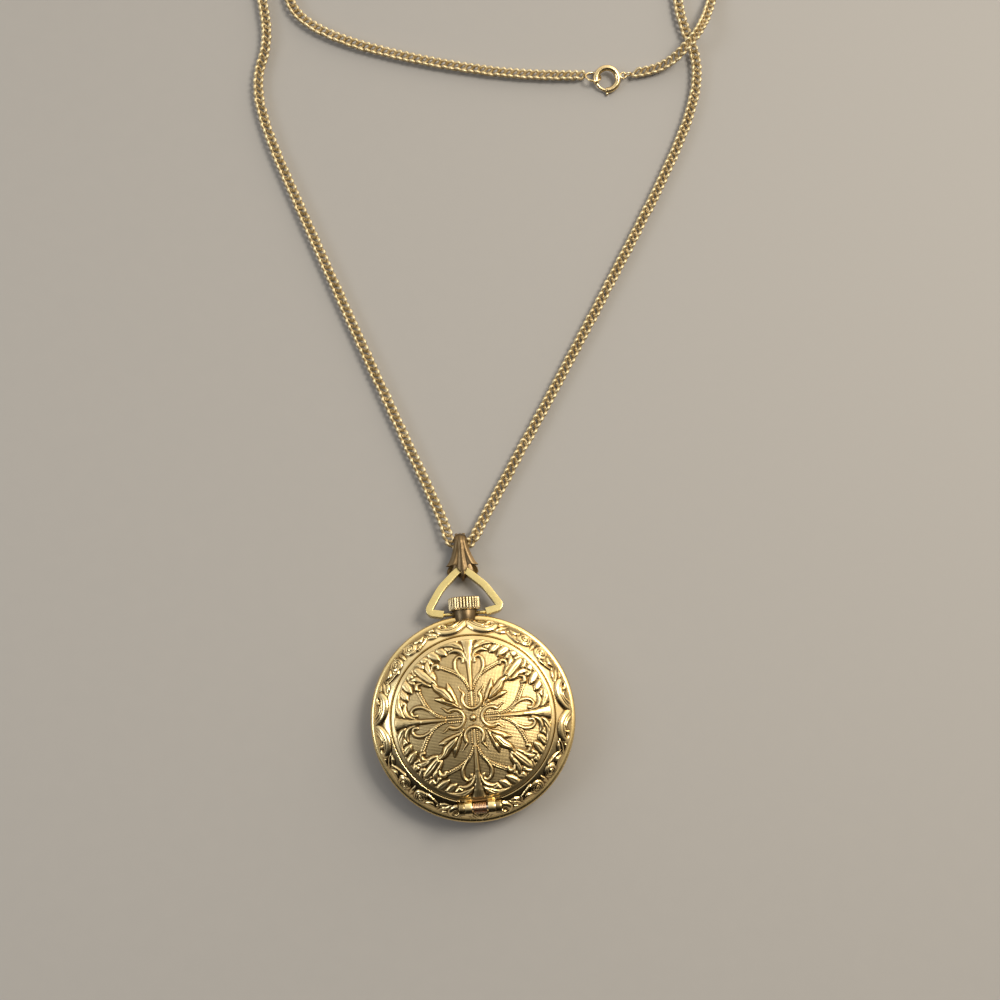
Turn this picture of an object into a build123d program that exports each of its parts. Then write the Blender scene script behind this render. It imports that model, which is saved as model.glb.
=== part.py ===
"""Hunter pendant watch lying on its back, with its bow, bail, chain and clasp.

Millimetres. The origin is the centre of the case back's flat face, +Z points up through the cover,
+Y towards the crown at 12 o'clock and +X to 3 o'clock.
"""
from build123d import *
import os
from math import atan2, cos, degrees, hypot, pi, radians, sin, sqrt, tan

os.makedirs("parts", exist_ok=True)

# Driving dimensions of the case
case_radius = 18.0
rim_roll_radius = 0.7
rim_z = 4.2
case_bore_radius = 13.4
cover_radius = 14.2
cover_top_z = 9.9
ledge_z = 7.15
stem_z = 3.4

# Driving dimensions of the movement
movement_radius = 11.5
bridge_z = 1.9
bridge_thickness = 0.7
plate_z = 4.0
plate_thickness = 1.3

# Clearances and the overrun of a cutting tool
running_clearance = 0.03
fitting_clearance = 0.02
free_clearance = 0.1
cut_over = 1.0

FROM_BASE = (Align.CENTER, Align.CENTER, Align.MIN)


def disc(radius, height, z=0, at=(0, 0)):
    return Pos(at[0], at[1], z) * Cylinder(radius, height, align=FROM_BASE)


def ring(outer, inner, height, z=0, at=(0, 0)):
    return disc(outer, height, z, at) - disc(inner, height, z, at)


def sector(outer, inner, half_height, start, span):
    section = Plane.XZ * Pos((outer + inner) / 2, 0, 0) * Rectangle(outer - inner, 2 * half_height)
    return Rot(0, 0, start) * revolve(section, Axis.Z, span)


def turned(*lines):
    """A solid of revolution about Z; the lines hold radius and height."""
    edges = [edge for line in lines for edge in line.edges()]
    return revolve(Plane.XZ * make_face(edges), Axis.Z)


def block(low, high):
    size = [high[i] - low[i] for i in range(3)]
    return Pos(*low) * Box(*size, align=(Align.MIN, Align.MIN, Align.MIN))


def plate(outline, z, height):
    return Pos(0, 0, z) * extrude(make_face(Polyline(*outline, close=True)), height)


def bar(start, end, width, z, height):
    """A flat bar with round ends between two places."""
    dx, dy = end[0] - start[0], end[1] - start[1]
    across = (-dy / hypot(dx, dy) * width / 2, dx / hypot(dx, dy) * width / 2)
    outline = [(start[0] + across[0], start[1] + across[1]), (end[0] + across[0], end[1] + across[1]),
               (end[0] - across[0], end[1] - across[1]), (start[0] - across[0], start[1] - across[1])]
    return plate(outline, z, height) + disc(width / 2, height, z, start) + disc(width / 2, height, z, end)


def polar(distance, angle, centre=(0, 0)):
    return (centre[0] + distance * cos(radians(angle)), centre[1] + distance * sin(radians(angle)))


def arc_rod(major, minor, start, span, z=0):
    """A round rod bent to part of a ring about Z."""
    section = Plane.XZ * Pos(major, z, 0) * Circle(minor)
    return Rot(0, 0, start) * revolve(section, Axis.Z, span)


def along_stem(solid):
    """Turns a solid built about Z, so that its height becomes the place along the winding stem."""
    return Pos(0, 0, stem_z) * Rot(-90, 0, 0) * solid


def rod_x(radius, x_low, x_high, y, z):
    return Pos(x_low, y, z) * Rot(0, 90, 0) * Cylinder(radius, x_high - x_low, align=FROM_BASE)


def keep(name, *solids):
    """Writes one piece, or a group of like pieces, under its node's name."""
    shape = solids[0] if len(solids) == 1 else Compound(children=list(solids))
    shape.label = name
    export_step(shape, "parts/" + name + ".step")
    return shape


# Gears. A tooth is a flat-sided wedge, narrower than its gap, so that meshed teeth stay clear.
addendum_share = 0.8
dedendum_share = 1.1
root_half_share = 0.29
tip_half_share = 0.13


def gear(teeth, module, height, z, at, turn=0, bore=0):
    pitch_radius = teeth * module / 2
    tip, root = pitch_radius + addendum_share * module, pitch_radius - dedendum_share * module
    step = 360 / teeth
    corners = ((root, -root_half_share), (tip, -tip_half_share), (tip, tip_half_share), (root, root_half_share))
    outline = [polar(radius, turn + (tooth + share) * step, at) for tooth in range(teeth) for radius, share in corners]
    blank = plate(outline, z, height)
    return blank - disc(bore, height, z, at) if bore else blank


def mesh_turn(teeth_a, turn_a, at_a, teeth_b, at_b):
    """The angle of gear b's first tooth that puts its gaps on the teeth of gear a."""
    direction = degrees(atan2(at_b[1] - at_a[1], at_b[0] - at_a[0]))
    shift = (direction - turn_a) * teeth_a / 360
    return direction + 180 - (0.5 - shift) * 360 / teeth_b


def lightened(wheel, at, mid_radius, hole_radius, count, z, height):
    """Takes a ring of round holes out of a wheel, as its spokes leave."""
    for hole in range(count):
        wheel -= disc(hole_radius, height, z, polar(mid_radius, hole * 360 / count, at))
    return wheel


def spiral_strip(inner, pitch, turns, strip, z, height, at):
    """A flat ribbon wound in half circles, each one half a pitch wider than the last."""
    centre_shift = pitch / 4
    sides = []
    for offset in (0, strip):
        side = []
        for half in range(2 * turns):
            radius = inner + offset + half * pitch / 2
            sign = 1 if half % 2 == 0 else -1
            middle = centre_shift if half % 2 else -centre_shift
            side.append(ThreePointArc((middle + sign * radius, 0), (middle, sign * radius), (middle - sign * radius, 0)))
        sides.append(side)
    caps = [Line(sides[0][0] @ 0, sides[1][0] @ 0), Line(sides[0][-1] @ 1, sides[1][-1] @ 1)]
    edges = [edge for line in sides[0] + sides[1] + caps for edge in line.edges()]
    return Pos(at[0], at[1], z) * extrude(make_face(edges), height)


# Case back: a dished cover that snaps into the case middle from below
back_flat_radius = 11.0
back_shoulder_radius = 15.4
back_shoulder_z = 1.3
back_edge_radius = 16.3
back_seat_z = 1.9
back_wall = 0.55
lip_radius = 14.6
lip_wall = 0.57
lip_top_z = 2.5
gasket_step_z = 2.66

lip_outer = lip_radius - running_clearance
lip_inner = lip_outer - lip_wall
dish_slope_share = back_shoulder_z / (back_shoulder_radius - back_flat_radius)
dish_inner_radius = back_flat_radius - back_wall * dish_slope_share / 2
lip_root_z = back_wall + (lip_inner - dish_inner_radius) * dish_slope_share
keep("case_back", turned(Polyline(
    (0, 0), (back_flat_radius, 0), (back_shoulder_radius, back_shoulder_z), (back_edge_radius, back_seat_z),
    (lip_outer, back_seat_z), (lip_outer, lip_top_z), (lip_inner, lip_top_z), (lip_inner, lip_root_z),
    (dish_inner_radius, back_wall), (0, back_wall), close=True)))

gasket_gap = fitting_clearance
keep("back_gasket", ring(lip_outer - gasket_gap, lip_inner + gasket_gap,
                         gasket_step_z - lip_top_z - 2 * gasket_gap, lip_top_z + gasket_gap))

# Case middle with the rolled rim, and the embossed border ring that sits on it
roll_centre_radius = case_radius - rim_roll_radius
band_top_z = rim_z + rim_roll_radius
roll_low_z = rim_z - rim_roll_radius
border_outer_radius = 17.2
border_foot = 0.2
border_crest_z = 7.4
border_crest_radius = 14.55
cover_gap = 0.15
border_bulge = 0.25

rim_roll = ThreePointArc((roll_centre_radius, roll_low_z), (case_radius, rim_z), (roll_centre_radius, band_top_z))
stem_tube_radius = 0.7
case_band = turned(Polyline(
    (roll_centre_radius, band_top_z), (case_bore_radius, band_top_z), (case_bore_radius, gasket_step_z),
    (lip_radius, gasket_step_z), (lip_radius, back_seat_z), (back_edge_radius, back_seat_z),
    (roll_centre_radius, roll_low_z)), rim_roll)
case_band -= along_stem(disc(stem_tube_radius, case_radius))

recess_radius = cover_radius + cover_gap
border_foot_z = band_top_z + border_foot
slope_run, slope_rise = border_outer_radius - border_crest_radius, border_crest_z - border_foot_z
slope_length = hypot(slope_run, slope_rise)
slope_middle = (border_outer_radius - slope_run / 2 + border_bulge * slope_rise / slope_length,
                border_foot_z + slope_rise / 2 + border_bulge * slope_run / slope_length)
border_slope = ThreePointArc((border_outer_radius, border_foot_z), slope_middle, (border_crest_radius, border_crest_z))
border_ring = turned(Polyline(
    (border_crest_radius, border_crest_z), (recess_radius, border_crest_z), (recess_radius, ledge_z),
    (case_bore_radius, ledge_z), (case_bore_radius, band_top_z), (border_outer_radius, band_top_z),
    (border_outer_radius, border_foot_z)), border_slope)

# The whole outside of the case below the cover, filled, which shapes what is fitted against it
case_envelope = turned(Polyline(
    (border_crest_radius, border_crest_z), (0, border_crest_z), (0, 0), (back_flat_radius, 0),
    (back_shoulder_radius, back_shoulder_z), (back_edge_radius, back_seat_z), (roll_centre_radius, roll_low_z)),
    rim_roll, Line((roll_centre_radius, band_top_z), (border_outer_radius, band_top_z)),
    Line((border_outer_radius, band_top_z), (border_outer_radius, border_foot_z)), border_slope)

# Hinge at 6 o'clock: two cover knuckles, two case knuckles, the pin and the opening spring
hinge_y = -15.3
hinge_z = 7.5
cover_knuckle_radius = 1.25
case_knuckle_radius = 1.15
cover_knuckle_width = 1.25
cover_knuckle_x = 2.0
case_knuckle_width = 1.0
hinge_pin_radius = 0.4
hinge_leaf_thickness = 0.35
hinge_leaf_z = 7.3

cover_knuckle_low = cover_knuckle_x - cover_knuckle_width / 2
cover_knuckle_high = cover_knuckle_x + cover_knuckle_width / 2
case_knuckle_low = cover_knuckle_high + free_clearance / 2
case_knuckle_high = case_knuckle_low + case_knuckle_width
swing_radius = cover_knuckle_radius + free_clearance
inner_half = cover_knuckle_high + free_clearance / 4

# Embossing on the border's slope, the same in each quarter and mirrored about its middle line
border_relief = 0.2
border_relief_root_z = 7.0
border_relief_foot_radius = 17.1
border_relief_foot_z = 4.95
scroll_bands = ((15.95, 15.15, 1.2, 15), (16.95, 15.3, 16.2, 2.6), (16.6, 15.4, 20.5, 3), (15.75, 15.1, 25, 9))
volute_circle = 16.15
volute_radius = 1.2
volute_turns = (38.7, 51.3)
quarter_turns = (0, 90, 180, 270)
relief_run, relief_rise = border_relief * slope_rise / slope_length, border_relief * slope_run / slope_length
raised_foot = (border_outer_radius + relief_run, border_foot_z + relief_rise)
raised_crest = (border_crest_radius + relief_run, border_crest_z + relief_rise)
raised_slope = ThreePointArc(raised_foot, (slope_middle[0] + relief_run, slope_middle[1] + relief_rise), raised_crest)
border_skin = turned(Polyline(raised_crest, (raised_crest[0], border_relief_root_z),
                              (border_relief_foot_radius, border_relief_foot_z), raised_foot), raised_slope)
border_raised = []
for turn in quarter_turns:
    for outer, inner, start, span in scroll_bands:
        border_raised.append(Pos(0, 0, border_foot_z) * sector(outer, inner, cover_top_z, turn + start, span))
        border_raised.append(Pos(0, 0, border_foot_z) * sector(outer, inner, cover_top_z, turn - start - span, span))
    for volute_turn in volute_turns:
        border_raised.append(disc(volute_radius, cover_top_z, 0, polar(volute_circle, turn + volute_turn)))
for raised in border_raised:
    border_ring += raised & border_skin
border_ring -= rod_x(swing_radius, -inner_half, inner_half, hinge_y, hinge_z)
border_ring -= block((-inner_half, hinge_y, hinge_leaf_z - free_clearance), (inner_half, -case_bore_radius, cover_top_z))
for side in (-1, 1):
    x_low = min(side * case_knuckle_low, side * case_knuckle_high)
    border_ring -= rod_x(case_knuckle_radius, x_low, x_low + case_knuckle_width, hinge_y, hinge_z)

case_knuckles, cover_knuckles = [], []
for side in (-1, 1):
    x_low = min(side * case_knuckle_low, side * case_knuckle_high)
    tube = rod_x(case_knuckle_radius, x_low, x_low + case_knuckle_width, hinge_y, hinge_z)
    bore = rod_x(hinge_pin_radius + fitting_clearance / 2, x_low, x_low + case_knuckle_width, hinge_y, hinge_z)
    case_knuckles.append(tube - bore)

# Cover: a domed shell with a flat seating flange, a lining and the hinge leaves soldered to its edge
cover_seat_gap = 0.03
cover_edge_height = 0.5
cover_shoulder_radius = 13.6
cover_shoulder_rise = 0.25
cover_wall = 0.45
flange_bore_radius = 12.6
lining_thickness = 0.25
lining_seat_height = 0.6
dome_inner_radius = 12.2

cover_low_z = ledge_z + cover_seat_gap
cover_edge_z = cover_low_z + cover_edge_height
cover_shoulder_z = cover_edge_z + cover_shoulder_rise
dome_rise = cover_top_z - cover_shoulder_z
dome_ball = (cover_shoulder_radius ** 2 + dome_rise ** 2) / (2 * dome_rise)


def dome_z(radius, wall=0):
    """Height of the dome, or of a surface one wall below it, at a radius."""
    ball = dome_ball - wall
    return cover_top_z - dome_ball + sqrt(ball ** 2 - radius ** 2)


half_shoulder = cover_shoulder_radius / 2
half_dome = dome_inner_radius / 2
lining_z = cover_low_z + lining_seat_height
dome_outside = ThreePointArc((cover_shoulder_radius, cover_shoulder_z), (half_shoulder, dome_z(half_shoulder)),
                             (0, cover_top_z))
dome_inside = ThreePointArc((0, cover_top_z - cover_wall), (half_dome, dome_z(half_dome, cover_wall)),
                            (dome_inner_radius, dome_z(dome_inner_radius, cover_wall)))
cover_shell = turned(
    Polyline((dome_inner_radius, dome_z(dome_inner_radius, cover_wall)), (dome_inner_radius, lining_z),
             (flange_bore_radius, lining_z), (flange_bore_radius, cover_low_z), (cover_radius, cover_low_z),
             (cover_radius, cover_edge_z), (cover_shoulder_radius, cover_shoulder_z)),
    dome_outside, Line((0, cover_top_z), (0, cover_top_z - cover_wall)), dome_inside)
cover_blank = disc(cover_radius, 2 * cover_edge_height, cover_low_z)

# Catch at 12 o'clock: a small sprung hook in the border ring, under a notch in the cover's flange
catch_half_width = 0.8
catch_inner_y = 13.72
catch_hook_thickness = 0.23
catch_foot_length = 1.3
catch_foot_thickness = 0.4
catch_foot_z = 6.1
catch_top_z = 7.45
catch_travel = 0.3
catch_room = 0.2

slot_half = catch_half_width + free_clearance
slot_outer_y = catch_inner_y + catch_foot_length + catch_room
slot_low_z = catch_foot_z - fitting_clearance
border_ring -= block((-slot_half, case_bore_radius - catch_room, slot_low_z),
                     (slot_half, slot_outer_y, catch_foot_z + catch_foot_thickness + fitting_clearance))
border_ring -= block((-slot_half, case_bore_radius - catch_room, slot_low_z),
                     (slot_half, catch_inner_y + catch_hook_thickness + fitting_clearance, ledge_z + cut_over))
cover_shell -= block((-slot_half, catch_inner_y - catch_travel - free_clearance, cover_low_z),
                     (slot_half, catch_inner_y + catch_hook_thickness + fitting_clearance, catch_top_z + free_clearance))
keep("case_band", case_band)
keep("border_ring", border_ring)
keep("case_knuckles", *case_knuckles)

# Embossing raised from the dome: a long leaf ending in a bell on each diagonal, and between them a ring, a
# stem that opens into a fan along the rim, and branches to both sides
relief_height = 0.3
relief_root = 0.2
relief_room_z = 8.0
relief_room_height = 2.5
loop_centre_x = 3.15
loop_radius = 1.6
loop_half = 0.27
leaf_half = ((2.7, 0.2), (3.8, 0.6), (5.2, 1.1), (6.9, 1.3), (7.6, 0.65), (8.6, 0.45), (9.6, 1.2), (10.8, 1.7), (12, 1.6),
             (12.9, 0.9))
stem_half = ((4.9, 0.2), (8.6, 0.33), (11, 0.6), (13.3, 0.7))
fan_outer, fan_inner, fan_start, fan_span = 13.35, 12.4, 4, 20
plume_outer, plume_inner, plume_start, plume_span = 11.9, 11.1, 3.5, 12
branch_start, branch_bend, branch_end = (5.1, 0.55), (7.4, 2.1), (9.0, 5.0)
branch_width = 0.5


def raised_plate(half_outline):
    return plate(list(half_outline) + [(x, -y) for x, y in reversed(half_outline)], relief_room_z, relief_room_height)


raised = [Rot(0, 0, 45) * raised_plate(leaf_half), raised_plate(stem_half),
          ring(loop_radius + loop_half, loop_radius - loop_half, relief_room_height, relief_room_z, (loop_centre_x, 0))]
fan = Pos(0, 0, cover_top_z) * sector(fan_outer, fan_inner, relief_room_height, fan_start, fan_span)
plume = Pos(0, 0, cover_top_z) * sector(plume_outer, plume_inner, relief_room_height, plume_start, plume_span)
branch = bar(branch_start, branch_bend, branch_width, relief_room_z, relief_room_height)
branch += bar(branch_bend, branch_end, branch_width, relief_room_z, relief_room_height)
for shape in (fan, plume, branch):
    raised += [shape, mirror(shape, Plane.XZ)]
ball_place = Pos(0, 0, cover_top_z - dome_ball)
relief_skin = ball_place * Sphere(dome_ball + relief_height) - ball_place * Sphere(dome_ball - relief_root)
relief_skin &= disc(fan_outer, relief_room_height, relief_room_z - relief_root)
for shape in raised:
    for turn in quarter_turns:
        cover_shell += Rot(0, 0, turn) * (shape & relief_skin)
keep("cover_shell", cover_shell)
catch_foot = block((-catch_half_width, catch_inner_y, catch_foot_z),
                   (catch_half_width, catch_inner_y + catch_foot_length, catch_foot_z + catch_foot_thickness))
catch_hook = block((-catch_half_width, catch_inner_y, catch_foot_z),
                   (catch_half_width, catch_inner_y + catch_hook_thickness, catch_top_z))
keep("cover_catch", catch_foot + catch_hook)

lining_radius = flange_bore_radius - fitting_clearance
lining_bead = 0.8
keep("cover_lining", turned(Polyline(
    (0, lining_z), (lining_radius, lining_z), (lining_radius, lining_z - lining_thickness),
    (lining_radius - lining_bead, lining_z - lining_thickness),
    (lining_radius - 2 * lining_bead, lining_z - lining_thickness / 2), (0, lining_z - lining_thickness / 2),
    close=True)))

for side in (-1, 1):
    x_low = side * cover_knuckle_x - cover_knuckle_width / 2
    x_high = x_low + cover_knuckle_width
    tube = rod_x(cover_knuckle_radius, x_low, x_high, hinge_y, hinge_z)
    leaf = block((x_low, hinge_y, hinge_leaf_z), (x_high, -case_bore_radius, hinge_leaf_z + hinge_leaf_thickness))
    bore = rod_x(hinge_pin_radius + running_clearance, x_low, x_high, hinge_y, hinge_z)
    cover_knuckles.append(tube + leaf - cover_blank - bore)
keep("cover_knuckles", *cover_knuckles)
keep("hinge_pin", rod_x(hinge_pin_radius, -case_knuckle_high, case_knuckle_high, hinge_y, hinge_z))

# Opening spring, wound round the pin between the cover knuckles
spring_wire = 0.25
spring_outer_radius = 1.03
spring_half_length = 1.3
spring_turns = 3
arcs_per_turn = 4
spring_radius = spring_outer_radius - spring_wire / 2
spring_pitch = 2 * (spring_half_length - spring_wire) / spring_turns


def helix_point(step):
    angle = 2 * pi * step / arcs_per_turn
    x = -spring_turns * spring_pitch / 2 + spring_pitch * step / arcs_per_turn
    return Vector(x, hinge_y + spring_radius * cos(angle), hinge_z + spring_radius * sin(angle))


def helix_heading(step):
    angle = 2 * pi * step / arcs_per_turn
    return Vector(spring_pitch / (2 * pi), -spring_radius * sin(angle), spring_radius * cos(angle)).normalized()


def biarc(start, heading, end, end_heading):
    """Two arcs that leave the start and reach the end along the given headings."""
    across, headings = end - start, heading + end_heading
    spread = 2 * (1 - heading.dot(end_heading))
    forward = across.dot(headings)
    reach = (sqrt(forward ** 2 + spread * across.dot(across)) - forward) / spread
    joint = (start + end + (heading - end_heading) * reach) * 0.5
    joint_heading = (joint - (start + heading * reach)).normalized()
    return [Edge.make_tangent_arc(start, heading, joint), Edge.make_tangent_arc(joint, joint_heading, end)]


spring_steps = spring_turns * arcs_per_turn
first, last = helix_point(0), helix_point(spring_steps)
spring_edges = [Edge.make_line(first - helix_heading(0) * spring_wire, first)]
for step in range(spring_steps):
    spring_edges += biarc(helix_point(step), helix_heading(step), helix_point(step + 1), helix_heading(step + 1))
spring_edges.append(Edge.make_line(last, last + helix_heading(spring_steps) * spring_wire))
spring_path = Wire(spring_edges)
spring_section = Plane(spring_path @ 0, z_dir=spring_path % 0) * Circle(spring_wire / 2)
hinge_spring = keep("hinge_spring", sweep(spring_section, path=spring_path))

# Crystal, its gasket, and the ring that carries it over the dial
dial_z = plate_z + plate_thickness
dial_thickness = 0.35
dial_radius = 12.9
dial_hole_radius = 0.9
crystal_z = 6.4
crystal_radius = 13.0
crystal_edge = 0.5
crystal_dome = 0.2
dial_ring_inner = 12.3
dial_ring_foot = 12.65

dial_top_z = dial_z + dial_thickness
seat_radius = case_bore_radius - running_clearance
keep("dial", ring(dial_radius, dial_hole_radius, dial_thickness, dial_z))
keep("dial_ring", turned(Polyline(
    (dial_ring_foot, dial_top_z + fitting_clearance), (seat_radius, dial_top_z + fitting_clearance),
    (seat_radius, crystal_z - fitting_clearance), (dial_ring_inner, crystal_z - fitting_clearance), close=True)))
crystal_top_z = crystal_z + crystal_edge + crystal_dome
crystal_ball = (crystal_radius ** 2 + crystal_dome ** 2) / (2 * crystal_dome)
crystal_half = crystal_radius / 2
crystal_half_z = crystal_top_z - crystal_ball + sqrt(crystal_ball ** 2 - crystal_half ** 2)
keep("crystal", turned(
    Polyline((0, crystal_top_z), (0, crystal_z), (crystal_radius, crystal_z), (crystal_radius, crystal_z + crystal_edge)),
    ThreePointArc((crystal_radius, crystal_z + crystal_edge), (crystal_half, crystal_half_z), (0, crystal_top_z))))
keep("crystal_gasket", ring(seat_radius, crystal_radius + fitting_clearance, crystal_edge, crystal_z))

# Pendant neck: carries the bow's pins and lets the winding stem through
pendant_radius = 2.3
pendant_top_y = 19.2
stem_radius = 0.45
bow_pivot_y = 18.4
bow_pin_radius = 0.3
bow_pin_inner_x = 1.65
gasket_radius = 0.85
gasket_y = 18.35
gasket_height = 0.5

pendant = along_stem(disc(pendant_radius, pendant_top_y)) - case_envelope
pendant += along_stem(ring(stem_tube_radius - fitting_clearance, stem_radius + running_clearance,
                           case_radius - case_bore_radius, case_bore_radius + fitting_clearance))
pendant -= along_stem(disc(stem_radius + running_clearance, pendant_top_y))
pendant -= along_stem(disc(gasket_radius, cut_over + pendant_top_y - gasket_y, gasket_y))
for side in (-1, 1):
    x_low = min(side * (bow_pin_inner_x - free_clearance), side * pendant_radius * 2)
    x_high = max(side * (bow_pin_inner_x - free_clearance), side * pendant_radius * 2)
    pendant -= rod_x(bow_pin_radius + running_clearance, x_low, x_high, bow_pivot_y, stem_z)
keep("pendant_neck", pendant)
keep("stem_gasket", along_stem(ring(gasket_radius - fitting_clearance, stem_radius + running_clearance,
                                    gasket_height, gasket_y + fitting_clearance)))

# Crown, with its fluted edge and the recess that takes the pendant neck when it is pressed
crown_y = 19.0
crown_height = 2.3
crown_radius = 2.85
crown_recess_radius = 2.45
crown_recess_depth = 0.8
crown_bevel = 0.2
flute_radius = 0.13
flute_count = 30
stem_seat_depth = 1.75

crown = turned(Polyline(
    (0, stem_seat_depth), (stem_radius + fitting_clearance, stem_seat_depth),
    (stem_radius + fitting_clearance, crown_recess_depth), (crown_recess_radius, crown_recess_depth),
    (crown_recess_radius, 0), (crown_radius - crown_bevel, 0), (crown_radius, crown_bevel),
    (crown_radius, crown_height - crown_bevel), (crown_radius - crown_bevel, crown_height - crown_bevel / 2),
    (0, crown_height), close=True))
for flute in range(flute_count):
    crown -= disc(flute_radius, crown_height, 0, polar(crown_radius, flute * 360 / flute_count))
keep("crown", along_stem(Pos(0, 0, crown_y) * crown))

# Winding stem, winding pinion and sliding pinion
pilot_y = 6.45
pilot_radius = 0.3
pilot_shoulder_y = 7.8
winding_pinion_y = 9.9
winding_pinion_width = 0.9
winding_pinion_teeth = 17
winding_pinion_module = 0.17
sliding_pinion_y = 8.0
sliding_pinion_radius = 0.75
sliding_groove = 0.15
stem_bore = stem_radius + running_clearance

keep("winding_stem", along_stem(turned(Polyline(
    (0, pilot_y), (pilot_radius, pilot_y), (pilot_radius, pilot_shoulder_y), (stem_radius, pilot_shoulder_y),
    (stem_radius, crown_y + stem_seat_depth), (0, crown_y + stem_seat_depth), close=True))))
sliding_length = winding_pinion_y - sliding_pinion_y - fitting_clearance
groove_low, groove_high = sliding_length / 3, sliding_length / 2
keep("sliding_pinion", along_stem(Pos(0, 0, sliding_pinion_y) * turned(Polyline(
    (stem_bore, 0), (sliding_pinion_radius, 0), (sliding_pinion_radius, groove_low),
    (sliding_pinion_radius - sliding_groove, groove_low), (sliding_pinion_radius - sliding_groove, groove_high),
    (sliding_pinion_radius, groove_high), (sliding_pinion_radius, sliding_length), (stem_bore, sliding_length),
    close=True))))

# Where the wheels stand, from their modules and tooth counts, as seen from the dial side
barrel_teeth, centre_pinion_teeth = 72, 10
centre_teeth, third_pinion_teeth = 64, 8
third_teeth, fourth_pinion_teeth = 60, 8
fourth_teeth, escape_pinion_teeth = 60, 6
escape_teeth = 15
main_module = 0.11
third_module = 0.10
fourth_module = 0.088
winding_module = 0.18
ratchet_teeth, crown_wheel_teeth = 44, 26
escape_to_fork = 2.35
fork_to_balance = 3.0

centre_at = (0, 0)
barrel_at = polar((barrel_teeth + centre_pinion_teeth) * main_module / 2, 140)
third_at = polar((centre_teeth + third_pinion_teeth) * main_module / 2, 262)
fourth_at = polar((third_teeth + fourth_pinion_teeth) * third_module / 2, -15, third_at)
escape_at = polar((fourth_teeth + escape_pinion_teeth) * fourth_module / 2, 30, fourth_at)
fork_at = polar(escape_to_fork, 55, escape_at)
balance_at = polar(fork_to_balance, 75.4, fork_at)
winding_distance = (ratchet_teeth + crown_wheel_teeth) * winding_module / 2
crown_wheel_at = (0, barrel_at[1] + sqrt(winding_distance ** 2 - barrel_at[0] ** 2))

# Heights of the wheels between the bridges and the plate
gap_z = bridge_z + bridge_thickness
wheel_thickness = 0.18
centre_wheel_z = 2.70
centre_pinion_z = 3.10
centre_pinion_height = 0.86
third_wheel_z = 3.45
third_pinion_z = 2.66
fourth_wheel_z = 3.03
fourth_pinion_z = 3.35
escape_wheel_z = 3.45
escape_pinion_z = 2.92
pinion_height = 0.42
arbor_radius = 0.16
pivot_radius = 0.1
pivot_low_z = 2.22
pivot_high_z = 4.38
jewel_radius = 0.45
jewel_height = 0.4


def arbor(at, low_z=pivot_low_z):
    """The shaft of a wheel, thinner where it runs in its jewels."""
    body_z = max(gap_z, low_z) + fitting_clearance
    body = disc(arbor_radius, plate_z - fitting_clearance - body_z, body_z, at)
    return body + disc(pivot_radius, pivot_high_z - low_z, low_z, at)


# Barrel: toothed drum, its lid, the arbor and the mainspring coiled between them
drum_z = 2.95
drum_top_z = 3.6
drum_radius = 3.75
drum_wall = 0.25
barrel_disc_height = 0.3
lid_thickness = 0.12
barrel_core_radius = 0.88
barrel_square_radius = 0.4
barrel_pivot_radius = 0.35
barrel_pivot_top_z = 4.5
mainspring_inner = 1.0
mainspring_pitch = 0.32
mainspring_turns = 7
mainspring_strip = 0.12
ratchet_z = 1.65
ratchet_height = 0.23
screw_core_radius = 0.2

barrel_turn = mesh_turn(centre_pinion_teeth, 0, centre_at, barrel_teeth, barrel_at)
keep("barrel_drum",
     gear(barrel_teeth, main_module, barrel_disc_height, drum_top_z, barrel_at, barrel_turn,
          barrel_pivot_radius + running_clearance)
     + ring(drum_radius, drum_radius - drum_wall, drum_top_z - drum_z, drum_z, barrel_at))
keep("barrel_lid", ring(drum_radius - drum_wall - fitting_clearance, barrel_square_radius + running_clearance,
                        lid_thickness, drum_z, barrel_at))
core_z = drum_z + lid_thickness + fitting_clearance
barrel_arbor = (disc(barrel_square_radius, core_z - ratchet_z, ratchet_z, barrel_at)
                + disc(barrel_core_radius, drum_top_z - fitting_clearance - core_z, core_z, barrel_at)
                + disc(barrel_pivot_radius, barrel_pivot_top_z - core_z, core_z, barrel_at))
keep("barrel_arbor", barrel_arbor - disc(screw_core_radius + fitting_clearance, bridge_thickness, ratchet_z, barrel_at))
keep("mainspring", spiral_strip(mainspring_inner, mainspring_pitch, mainspring_turns, mainspring_strip,
                                core_z, drum_top_z - fitting_clearance - core_z, barrel_at))

# Winding work on the back of the barrel bridge: ratchet wheel, crown wheel, their screws, click and its spring
crown_wheel_bore = 0.6
crown_wheel_web = 0.11
crown_wheel_recess = 2.1
core_boss_radius = 0.57
screw_head_height = 0.17
ratchet_screw_head = 0.85
crown_screw_head = 0.95
screw_core_height = 0.65
click_distance = 5.6
click_angle = 215
click_tip_distance = 4.31
click_tip_angle = 203
click_width = 0.24
click_hub_radius = 0.5
click_pin_radius = 0.25
click_height = 0.21
click_spring_width = 0.12
click_spring_base = (-8.9, 3.6)
click_spring_tip = (-7.8, 0.9)
click_post_radius = 0.35

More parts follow.
